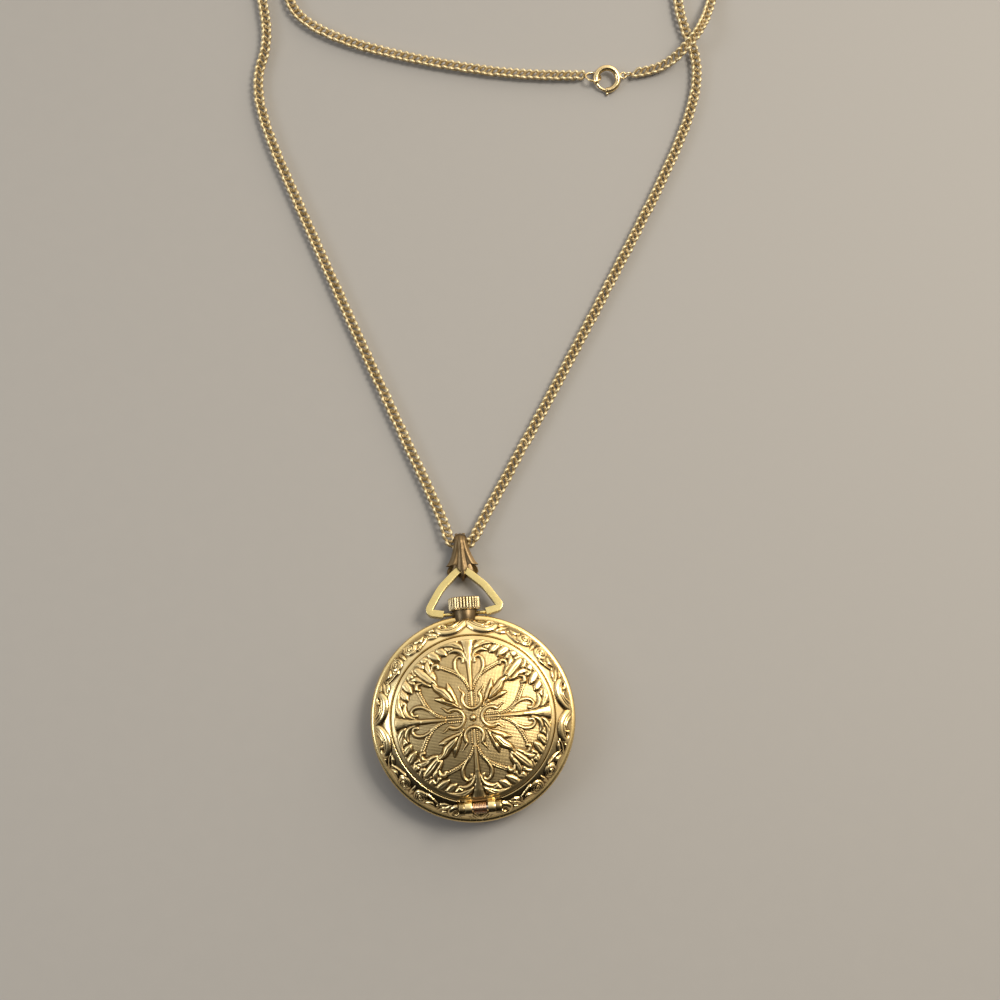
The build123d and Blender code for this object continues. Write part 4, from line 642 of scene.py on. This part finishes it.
def mark_hollows(piece, raised, shown, rings, ground_tone):
    """Stores painted shade where the metal lies lower than the relief round it, with the bare ground's own darker
    tone, and marks where the ground is bare.
    """
    mesh = piece.data
    ends = np.zeros(len(mesh.edges) * 2, int)
    mesh.edges.foreach_get("vertices", ends)
    ends = ends.reshape(-1, 2)
    blurred = raised.copy()
    for sweep in range(rings):
        total, count = blurred.copy(), np.ones(len(blurred))
        np.add.at(total, ends[:, 0], blurred[ends[:, 1]])
        np.add.at(total, ends[:, 1], blurred[ends[:, 0]])
        np.add.at(count, ends.reshape(-1), 1)
        blurred = total / count
    # Painted shade: the further the metal lies under the blurred relief round it, the darker its colour.
    painted_shade_and_ground_tone = np.clip((blurred - raised) / full_shade_depth, 0, 1) * shown
    ground = np.where(shown & (raised < bare_ground), 1.0, 0.0)
    store_values(piece, "painted_shade_and_ground_tone", np.maximum(painted_shade_and_ground_tone, ground * ground_tone))
    store_values(piece, "ground", ground)


# Painted shade round the cover's relief, and a real darker tone on its bare ruled ground.
mark_hollows(cover, raised, on_top, 12, 0.30)
cover_gold = gold_metal("cover_gold", (0.72, 0.545, 0.27), 0.30, 900.0, 0.20, 0.000022, painted_shade=True, ruled=0.00025)
fit(cover, "cover", "gold_case", cover_gold, "cover_shell")

# Border ring: a gilt brass ring round the cover, embossed with running scrolls between large volutes on
# a fine matte ground. It sits on the case middle and is notched at 6 o'clock for the hinge.
border_spokes, border_steps, border_bulge = 1200, 45, 0.19
border_top, border_foot = (14.55, 7.4), (17.2, 5.1)
border_middle = [(top + foot) / 2 + border_bulge for top, foot in zip(border_top, border_foot)]
border_line = arc_points(border_top, border_middle, border_foot, border_steps)
border_profile = border_line + [(17.2, 4.9), (13.4, 4.9), (13.4, 7.15), (14.35, 7.15), (14.35, 7.4), (14.55, 7.4)]
border = turn_on_lathe("border_embossed", border_profile, border_spokes)
border_points = read_points(border)
spread = np.hypot(border_points[:, 0], border_points[:, 1])
bearing = np.arctan2(border_points[:, 1], border_points[:, 0])
slope_line = np.array(border_line)
slope_reach = distances(slope_line)
down = np.interp(spread, slope_line[:, 0], slope_reach)
slope_height = np.interp(spread, slope_line[:, 0], slope_line[:, 1])
on_slope = (spread > 14.54) & (spread < 17.21) & (abs(border_points[:, 2] - slope_height) < 0.03)
arm, diagonal = nearest_arms(bearing)
round_arm = abs(15.9 * (bearing - arm))
round_diagonal = abs(15.9 * (bearing - diagonal))
relief = np.zeros(len(border_points))
on_arm, on_diagonal = (relief, round_arm, down), (relief, round_diagonal, down)
for leaf in ([(4.5, 0.9), (5.5, 1.3), (6.5, 2.2), (7.2, 3.1)], [(5.6, 0.9), (6.6, 1.3), (7.6, 1.9)],
             [(5.2, 2.6), (5.9, 2.9), (6.6, 3.2)]):
    raise_line(on_arm, smooth_line(leaf), [0.08, 0.36, 0.34, 0.08], 0.30)
scroll = [(0.1, 3.2), (0.7, 2.2), (1.8, 1.35), (3.2, 1.1), (4.5, 1.5), (5.0, 2.4), (4.5, 3.0),
          (3.8, 2.9), (3.6, 2.4)]
raise_line(on_arm, smooth_line(scroll), [0.50, 0.80, 0.85, 0.78, 0.62, 0.46, 0.38, 0.30], 0.48, 0.20)
raise_line(on_arm, smooth_line([(1.2, 3.1), (1.8, 2.3), (2.8, 2.0), (3.2, 2.6)]), [0.30, 0.34, 0.28, 0.10], 0.30)
for shift in (-0.30, 0.12):
    vein = [(0.5 - shift, 2.7 - shift), (1.5 - shift, 1.7 - shift), (2.9, 1.2 - shift),
            (4.3, 1.6 - shift * 0.5), (4.7, 2.3)]
    cut_line(on_arm, smooth_line(vein), [0.03, 0.10, 0.11, 0.09, 0.03], 0.22)
volute_centre = (1.78, 1.98)
volute = [(5.6, 1.9), (4.6, 1.2), (3.6, 0.85), (2.4, 0.8)] + curl(volute_centre, 1.22, 0.25, 200, -1.60)[6:]
raise_line(on_diagonal, smooth_line(volute, 3), [0.08, 0.40, 0.60, 0.50, 0.40, 0.36, 0.30], 0.46, 0.24)
raise_line(on_diagonal, [(1.76, 1.98), (1.80, 1.98)], 1.30, 0.40, 0.20)
spiral = [(4.6, 1.5), (3.6, 1.15), (2.8, 0.95)] + curl(volute_centre, 0.92, 0.20, 230, -1.75)
cut_line(on_diagonal, smooth_line(spiral, 3), [0.03, 0.10, 0.12, 0.12, 0.11, 0.10, 0.08], 0.26)
raise_line(on_diagonal, smooth_line([(3.2, 2.4), (4.0, 2.1), (4.9, 2.5)]), [0.30, 0.46, 0.08], 0.32)
raise_line(on_diagonal, [(0.0, 0.9), (0.0, 1.8), (0.0, 3.0)], [0.10, 0.34, 0.20], 0.30)
relief *= np.clip((down - 0.16) / 0.12, 0, 1) * np.clip((slope_reach[-1] - 0.06 - down) / 0.14, 0, 1)
raised = np.where(on_slope, relief, 0)
lean = np.stack([border_points[:, 0] / spread * 0.655, border_points[:, 1] / spread * 0.655,
                 np.full(len(spread), 0.755)], 1)
border_points += lean * raised[:, None]
hinge_axis_y, hinge_axis_z = -15.3, 7.5
notch_half_width, notch_radius = 3.85, 1.35
hinge_y, hinge_z = border_points[:, 1] - hinge_axis_y, border_points[:, 2] - hinge_axis_z
in_notch = (abs(border_points[:, 0]) < notch_half_width) & (np.hypot(hinge_y, hinge_z) < notch_radius)
drop = -np.sqrt(np.clip(notch_radius ** 2 - hinge_y ** 2, 0, None))
border_points[in_notch, 2] = np.minimum(border_points[in_notch, 2], hinge_axis_z + drop[in_notch])
raised[in_notch] = 0.2
write_points(border, border_points)
# Painted shade round the border's relief; its bare ground keeps the metal's own colour.
mark_hollows(border, raised, on_slope, 14, 0.0)
border_gold = gold_metal("border_gold", (0.86, 0.655, 0.325), 0.18, 1100.0, 0.20, 0.00002, painted_shade=True)
fit(border, "case", "gold_case", border_gold, "border_ring")

# Pendant neck and stem: a short turned boss soldered to the case middle, bored for the steel winding
# stem and drilled on both sides for the feet of the bow.


def smooth_copy(name, source, width=0.0):
    """A copy of a CAD node's mesh with its doubled points merged and its edges eased."""
    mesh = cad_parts[source].data
    piece = new_piece(name, [tuple(vertex.co / mm) for vertex in mesh.vertices],
                      [tuple(face.vertices) for face in mesh.polygons])
    choose(piece)
    bpy.ops.object.mode_set(mode="EDIT")
    bpy.ops.mesh.select_all(action="SELECT")
    bpy.ops.mesh.remove_doubles(threshold=0.000001)
    bpy.ops.object.mode_set(mode="OBJECT")
    if width:
        ease_edges(piece, width, 40)
    return sharpen(piece)


def refit(name, source, body, slot, material, width=0.0):
    """Puts a smoothed copy of a CAD node in its place."""
    fit(smooth_copy(name, source, width), body, slot, material, source)


# Painted shade: the boss is coloured near black, as the shade under the crown.
refit("pendant_boss", "pendant_neck", "case", "gold_case",
      gold_metal("pendant_painted_shade", (0.13, 0.09, 0.048), 0.34), 0.08)

# Crown: turned from brass and plated a pale champagne tone. Thirty rounded flutes are milled round its
# wall, and its end face is slightly domed.
stem_height, flute_count, flute_depth = 3.4, 30, 0.22
crown_profile = ([(0.0, 19.8), (2.45, 19.8), (2.45, 19.0), (2.62, 19.0), (2.78, 19.05)]
                 + [(2.85, 19.2 + 1.9 * step / 9) for step in range(10)]
                 + [(2.80, 21.19), (2.68, 21.27), (2.5, 21.3), (1.9, 21.34), (1.2, 21.37), (0.0, 21.38)])
crown = turn_on_lathe("crown_fluted", crown_profile, 360)
crown_points = read_points(crown)
spread = np.hypot(crown_points[:, 0], crown_points[:, 1])
bearing = np.arctan2(crown_points[:, 1], crown_points[:, 0])
flute = (0.5 + 0.5 * np.cos(flute_count * bearing)) ** 2
flute_share = np.clip((spread - 2.5) / 0.3, 0, 1) * np.clip((crown_points[:, 2] - 19.0) / 0.1, 0.25, 1)
shrink = 1 - flute_depth * flute * flute_share / np.maximum(spread, 0.01)
crown_points = np.stack([crown_points[:, 0] * shrink, crown_points[:, 2],
                         -crown_points[:, 1] * shrink + stem_height], 1)
write_points(crown, crown_points)
sharpen(crown, 50)
# Painted shade: the flutes' grooves are darkened in the colour.
store_values(crown, "painted_shade_and_ground_tone", 0.9 * flute * (spread > 2.6))
crown_gold = gold_metal("crown_gold", (0.54, 0.43, 0.245), 0.22, 900.0, 0.12, painted_shade=True)
fit(crown, "crown_and_stem", "gold_crown", crown_gold, "crown")

# Bow: a flat drawn band bent to a triangle with soft corners, sprung into the pendant by a pin at each
# foot. It is plated a brighter, yellower gold and polished.
bow_width, bow_depth = 1.3, 1.4
bow_corners = [(3.8, 0.0), (6.65, 0.6), (4.0, 4.85), (0.0, 8.6), (-4.0, 4.85), (-6.65, 0.6), (-3.8, 0.0)]
bow_bends = [0.7, 9.0, 1.0, 9.0, 0.7]
bow_place = Matrix.Translation((0, 18.4, 3.4)) @ Matrix.Rotation(radians(-10.8), 4, "X")


def rounded_route(corners, bends, steps=12):
    """A line of straight runs joined by arcs of the given radii."""
    corners = [np.array(corner, float) for corner in corners]
    line = [corners[0]]
    for before, corner, after, bend in zip(corners, corners[1:], corners[2:], bends):
        back, ahead = before - corner, after - corner
        back, ahead = back / np.linalg.norm(back), ahead / np.linalg.norm(ahead)
        half = np.arccos(np.clip(back @ ahead, -1, 1)) / 2
        inward = (back + ahead) / np.linalg.norm(back + ahead)
        centre = corner + inward * bend / np.sin(half)
        first, last = corner + back * bend / np.tan(half), corner + ahead * bend / np.tan(half)
        start, end = first - centre, last - centre
        turn = np.arccos(np.clip(start @ end / bend ** 2, -1, 1))
        for step in range(steps + 1):
            share = step / steps
            line.append(centre + (start * np.sin((1 - share) * turn) + end * np.sin(share * turn)) / np.sin(turn))
    line.append(corners[-1])
    line = np.array(line)
    reach = distances(line)
    even = np.linspace(0, reach[-1], 220)
    return np.stack([np.interp(even, reach, line[:, axis]) for axis in (0, 1)], 1)


def band_along(name, line, width, depth):
    """A flat band with rounded edges along a flat open line."""
    sides, squareness = 40, 14.0
    heading = np.gradient(line, axis=0)
    for sweep in range(4):
        heading[1:-1] = (heading[:-2] + heading[1:-1] * 2 + heading[2:]) / 4
    heading /= np.linalg.norm(heading, axis=1)[:, None]
    side = np.stack([-heading[:, 1], heading[:, 0]], 1)
    angle = np.arange(sides) * 2 * pi / sides
    across = np.sign(np.cos(angle)) * abs(np.cos(angle)) ** (2 / squareness) * width / 2
    up = np.sign(np.sin(angle)) * abs(np.sin(angle)) ** (2 / squareness) * depth / 2
    points = [(x + side_x * reach, y + side_y * reach, height)
              for (x, y), (side_x, side_y) in zip(line, side) for reach, height in zip(across, up)]
    return sharpen(new_piece(name, points, ring_faces(len(line), sides)), 28)


bow = band_along("bow_band", rounded_route(bow_corners, bow_bends), bow_width, bow_depth)
for side in (-1, 1):
    join(bow, tube_along("bow_foot_pin", [(side * reach, 0, 0) for reach in (1.65, 1.75, 4.2, 4.3)],
                         [0.24, 0.3, 0.3, 0.24]))
set_down(bow, bow_place)
bow_gold = gold_metal("bow_gold", (0.70, 0.565, 0.25), 0.24, 700.0, 0.12, 0.000006)
fit(bow, "bow_body", "gold_bow", bow_gold, "bow")

# Bail: one strip of brass folded over the chain, with the bow's apex in the fold. It is cast in ribs
# and lobes like a lily and toned dark bronze, with painted shade between the ribs.
bail_wall, bail_ribs, bail_shift = 0.42, 0.13, 0.2
bail_bronze = gold_metal("bail_bronze", (0.18, 0.122, 0.063), 0.38, 1000.0, 0.40, 0.00002, painted_shade=True)


def bail_surface(name, path, half_widths, ends, lift, droop):
    """A flared, ribbed sheet along a side path; its far edge runs in lobes and its tips turn outwards."""
    path = np.array(path, float)
    reach = distances(path)
    rows, columns = 44, 48
    heading = np.gradient(path, axis=0)
    points, painted_shade = [], []
    for row in range(rows + 1):
        t = row / rows
        for column in range(columns + 1):
            s = column / columns * 2 - 1
            end = np.interp(abs(s), ends[0], ends[1])
            along = t * reach[-1] * end
            y, z = np.interp(along, reach, path[:, 0]), np.interp(along, reach, path[:, 1])
            hy, hz = np.interp(along, reach, heading[:, 0]), np.interp(along, reach, heading[:, 1])
            length = hypot(hy, hz)
            out_y, out_z = -hz / length * lift, hy / length * lift
            half = np.interp(along, half_widths[0], half_widths[1])
            flare = max(0.0, along / reach[-1] - 0.45) / 0.55
            rise = (bail_ribs * (0.3 + flare) * cos(3 * pi * s) - droop * s * s * (1 - 0.55 * flare)
                    + 0.42 * flare ** 3 * (0.35 + abs(s)))
            points.append((bail_shift + half * s, y + out_y * rise, z + out_z * rise))
            # Painted shade in the valleys between the ribs, stronger towards the flared end.
            painted_shade.append(0.55 * max(0.0, -cos(3 * pi * s)) ** 2 * (0.3 + flare * 0.5))
    wide = columns + 1
    faces = [(start + column, start + column + 1, start + wide + column + 1, start + wide + column)
             for start in range(0, rows * wide, wide) for column in range(columns)]
    sheet = new_piece(name, points, faces)
    store_values(sheet, "painted_shade_and_ground_tone", painted_shade)
    choose(sheet)
    wall = sheet.modifiers.new("wall", "SOLIDIFY")
    wall.thickness = bail_wall * mm
    wall.offset = 0.0
    bpy.ops.object.modifier_apply(modifier=wall.name)
    ease_edges(sheet, 0.09, 50)
    return sharpen(sheet, 60)


fold_y, fold_z, fold_radius = 31.3, 1.8, 1.525
fold_front = [(fold_y + out, fold_z + up) for up, out in (round_place(fold_radius, a) for a in range(90, -1, -10))]
fold_back = [(y, 2 * fold_z - z) for y, z in fold_front]
front_path = fold_front + [(30.0, 3.30), (28.8, 3.22), (27.6, 3.10), (26.6, 2.95), (25.9, 2.80)]
back_path = fold_back + [(30.0, 0.30), (28.8, 0.38), (27.6, 0.48), (26.6, 0.58), (25.6, 0.66), (24.8, 0.72)]
front_leaf = bail_surface("bail_front", front_path,
                          ((0, 2.4, 3.6, 4.9, 6.0, 6.8, 8.0), (0.92, 1.0, 1.3, 1.75, 2.3, 2.95, 3.1)),
                          ((0, 0.20, 0.42, 0.60, 0.80, 1.0), (0.985, 0.93, 0.83, 0.82, 0.84, 0.85)), -1, 0.42)
back_leaf = bail_surface("bail_back", back_path,
                         ((0, 2.4, 3.6, 4.9, 6.0, 7.0, 8.0), (0.92, 1.0, 1.25, 1.65, 2.2, 2.75, 2.9)),
                         ((0, 0.22, 0.42, 0.55, 0.78, 1.0), (1.0, 0.96, 0.86, 0.88, 0.93, 0.86)), 1, -0.05)
tongue_path = [(26.7, 3.02), (25.9, 2.9), (25.1, 2.62), (24.72, 2.1), (24.68, 1.5), (24.9, 1.0), (25.4, 0.74)]
tongue = tube_along("bail_tongue", [(bail_shift, y, z) for y, z in smooth_line(tongue_path, 5)], [0.34] * 31, 14)
join(front_leaf, back_leaf, tongue)
fit(front_leaf, "bail_body", "bronze", bail_bronze, "bail")

# Hinge at 6 o'clock: two bright knuckles rolled from the cover's edge, two from the case, a steel pin
# through all four and a small torsion spring wound round the pin between them.
knuckle_gold = gold_metal("knuckle_gold", (0.84, 0.66, 0.34), 0.18, 900.0, 0.10, 0.000006)
case_knuckle_gold = gold_metal("case_knuckle_gold", (0.34, 0.25, 0.115), 0.24, 900.0, 0.3)
steel = gold_metal("polished_steel", (0.56, 0.56, 0.55), 0.2, 900.0, 0.12, 0.000004)
refit("cover_hinge_knuckles", "cover_knuckles", "cover", "gold_case", knuckle_gold, 0.08)
refit("case_hinge_knuckles", "case_knuckles", "case", "gold_case", case_knuckle_gold, 0.08)
refit("hinge_pin_steel", "hinge_pin", "case", "steel", steel)
coil_half_length, coil_radius, coil_wire = 1.16, 0.88, 0.11
coil_turns, coil_steps = 8, 30
coil_points = coil_turns * coil_steps + 1
coil_line = [(reach, *round_place(coil_radius, 360 * step / coil_steps))
             for step, reach in enumerate(np.linspace(-coil_half_length, coil_half_length, coil_points))]
hinge_spring = tube_along("hinge_coil_spring", coil_line, [coil_wire] * coil_points, 10)
set_down(hinge_spring, Matrix.Translation((0, hinge_axis_y, hinge_axis_z)))
spring_bronze = gold_metal("spring_bronze", (0.56, 0.36, 0.23), 0.2, 900.0, 0.2, 0.000004)
fit(hinge_spring, "case", "spring", spring_bronze, "hinge_spring")

# Cover lining and catch: the thin inner ring that stiffens the seating flange, and the sprung steel
# catch that hooks over the flange at 12 o'clock.
lining_gold = gold_metal("lining_gold", (0.72, 0.58, 0.30), 0.14, 300.0, 0.10, 0.000003)
refit("cover_lining_disc", "cover_lining", "cover", "gold_case", lining_gold)
paint(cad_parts["cover_catch"], steel)

# Dial side: a cream lacquered brass dial with printed numerals and a minute track, a sloped inner ring,
# two blued steel hands and a domed glass crystal held by a nylon gasket.
dial_lacquer = plain_finish("dial_lacquer", (0.80, 0.76, 0.66), 0.35, spread=0.03)
dial_print = plain_finish("dial_print", (0.012, 0.012, 0.014), 0.45, spread=0.2)
refit("dial_plate", "dial", "case", "dial", dial_lacquer)
print_low, print_high = 5.652, 5.658
numeral_radius, numeral_size, track_radius = 9.3, 2.5, 11.3
printed = []
for hour in range(1, 13):
    letters = bpy.data.curves.new(f"numeral_{hour}", "FONT")
    letters.body = str(hour)
    letters.size = numeral_size * mm
    letters.align_x, letters.align_y = "CENTER", "CENTER"
    letters.extrude = 0.006 * mm
    letters.resolution_u = 4
    text = bpy.data.objects.new(f"numeral_{hour}", letters)
    text.location = [value * mm for value in (*round_place(numeral_radius, 90 - 30 * hour), print_low)]
    bpy.context.scene.collection.objects.link(text)
    choose(text)
    bpy.ops.object.convert(target="MESH")
    bpy.ops.object.transform_apply(location=True, rotation=True, scale=True)
    printed.append(text)
tick_points, tick_faces = [], []
for minute in range(60):
    angle = radians(6 * minute)
    long, half = (0.75, 0.09) if minute % 5 == 0 else (0.42, 0.045)
    tick_faces += [tuple(len(tick_points) + corner for corner in face) for face in
                   ((0, 3, 2, 1), (4, 5, 6, 7), (0, 1, 5, 4), (1, 2, 6, 5), (2, 3, 7, 6), (3, 0, 4, 7))]
    tick_points += [(reach * cos(angle) - side * sin(angle), reach * sin(angle) + side * cos(angle), z)
                    for z in (print_low, print_high)
                    for reach, side in ((track_radius, -half), (track_radius, half), (track_radius + long, half),
                                        (track_radius + long, -half))]
dial_marks = new_piece("minute_track", tick_points, tick_faces)
join(dial_marks, *printed)
dial_marks.name = "dial_marks"
fit(dial_marks, "case", "dial", dial_print)
dial_ring_gold = gold_metal("dial_ring_gold", (0.74, 0.58, 0.28), 0.18, 500.0, 0.1)
refit("dial_inner_ring", "dial_ring", "case", "gold_case", dial_ring_gold)
blued = plain_finish("blued_steel", (0.03, 0.06, 0.22), 0.2, 1.0, spread=0.15)
refit("hour_hand_blued", "hour_hand", "hour", "blued", blued, 0.03)
refit("minute_hand_blued", "minute_hand", "minute", "blued", blued, 0.03)
glass, glass_shader = new_finish("crystal_glass", 0.0)
glass_shader.inputs["Base Color"].default_value = (0.97, 0.98, 0.97, 1)
glass_shader.inputs["Transmission Weight"].default_value = 1.0
glass_shader.inputs["IOR"].default_value = 1.5
glass_gloss = value_range(glass.node_tree, noise(glass, 400.0, 2.0), 0.0, 0.04)
glass.node_tree.links.new(glass_gloss, glass_shader.inputs["Roughness"])
crystal_radius, crystal_rise, crystal_edge_z, crystal_wall = 13.0, 0.2, 6.9, 0.5
crystal_ball = (crystal_radius ** 2 + crystal_rise ** 2) / (2 * crystal_rise)
crystal_top = [(radius, crystal_edge_z + crystal_rise - crystal_ball + sqrt(crystal_ball ** 2 - radius ** 2))
               for radius in range(14)]
crystal_low = [(radius, height - crystal_wall) for radius, height in crystal_top[::-1]]
crystal = sharpen(turn_on_lathe("crystal_glass", crystal_top + crystal_low, 96), 40)
fit(crystal, "case", "crystal", glass, "crystal")

# Movement and seals, which keep their CAD shape: gilt brass plates and wheels, steel pinions, springs and
# screws, synthetic rubies, and black rubber or white nylon gaskets.
brass = gold_metal("gilt_brass", (0.72, 0.53, 0.24), 0.28, 700.0, 0.15, 0.000006)
nickel = gold_metal("nickel_plate", (0.62, 0.60, 0.56), 0.3, 700.0, 0.12, 0.000006)
spring_steel = gold_metal("spring_steel", (0.34, 0.36, 0.42), 0.22, 900.0, 0.15, 0.000003)
ruby = plain_finish("ruby", (0.55, 0.03, 0.10), 0.12, 0.0, 2500.0, 0.15)
rubber = plain_finish("rubber", (0.03, 0.03, 0.03), 0.6, 0.0, 3000.0, 0.25)
nylon = plain_finish("nylon", (0.80, 0.79, 0.74), 0.4, 0.0, 1500.0, 0.05)
finishes = (
    (rubber, ("back_gasket", "stem_gasket")),
    (nylon, ("crystal_gasket",)),
    (ruby, ("pallet_stones", "jewels")),
    (spring_steel, ("mainspring", "click_spring", "hairspring")),
    (nickel, ("main_plate", "barrel_bridge", "train_bridge", "balance_cock", "pallet_cock")),
    (brass, ("barrel_drum", "barrel_lid", "centre_wheel", "third_wheel", "fourth_wheel", "balance_wheel",
             "minute_wheel", "hour_wheel", "movement_ring")),
    (steel, ("winding_stem", "sliding_pinion", "winding_pinion", "barrel_arbor", "ratchet_wheel", "ratchet_screw",
             "crown_wheel", "click", "escape_wheel", "pallet_fork", "bridge_screws", "cannon_pinion",
             "case_screws")))
for finish, labels in finishes:
    for label in labels:
        paint(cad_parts[label], finish)

# Setting: a plain pale warm floor, a soft key light from the upper right with a weaker, cooler fill on the
# left, and a surround that is bright above and to the right and dark towards the near horizon.
floor_reach = 3000.0
floor = new_piece("floor", [(-floor_reach, -floor_reach, 0), (floor_reach, -floor_reach, 0),
                            (floor_reach, floor_reach, 0), (-floor_reach, floor_reach, 0)], [(0, 1, 2, 3)])
paint(floor, plain_finish("floor_matte", (0.28, 0.26, 0.235), 0.9, 0.0, 300.0, 0.015))


def soft_light(name, place, size, power, colour):
    """A square area light that looks at the watch."""
    lamp = bpy.data.lights.new(name, "AREA")
    lamp.shape = "SQUARE"
    lamp.size = size
    lamp.energy = power
    lamp.color = colour
    light = bpy.data.objects.new(name, lamp)
    light.location = place
    light.rotation_euler = (light_aim - Vector(place)).to_track_quat("-Z", "Y").to_euler()
    bpy.context.scene.collection.objects.link(light)
    return light


light_aim = Vector((0.0, 0.02, 0.0))
key_light = soft_light("key_light", (0.26, 0.16, 0.40), 0.18, 2.1, (1.0, 0.96, 0.88))
fill_light = soft_light("fill_light", (-0.40, 0.05, 0.30), 0.20, 0.8, (0.86, 0.92, 1.0))
world = bpy.data.worlds.new("studio")
world.use_nodes = True
bpy.context.scene.world = world
studio = world.node_tree
sky_axes = studio.nodes.new("ShaderNodeSeparateXYZ")
studio.links.new(studio.nodes.new("ShaderNodeTexCoord").outputs["Generated"], sky_axes.inputs["Vector"])
across_stops = ((0.0, (0.70, 0.75, 0.84)), (0.5, (0.80, 0.78, 0.74)), (1.0, (2.3, 2.10, 1.80)))
along_stops = ((0.0, (0.02, 0.017, 0.014)), (0.16, (0.01, 0.01, 0.01)), (0.32, (0.08, 0.08, 0.08)),
               (0.5, (0.50, 0.50, 0.50)), (0.72, (1.1, 1.1, 1.1)), (1.0, (1.75, 1.70, 1.60)))
across, along = (colour_ramp(studio, value_range(studio, sky_axes.outputs[axis], 0.0, 1.0, -1.0), stops, "EASE")
                 for axis, stops in (("X", across_stops), ("Y", along_stops)))
background = studio.nodes["Background"]
studio.links.new(colour_mix(studio, 1.0, across, along, "MULTIPLY"), background.inputs["Color"])
background.inputs["Strength"].default_value = 1.1
bpy.context.scene.view_settings.view_transform = "Standard"
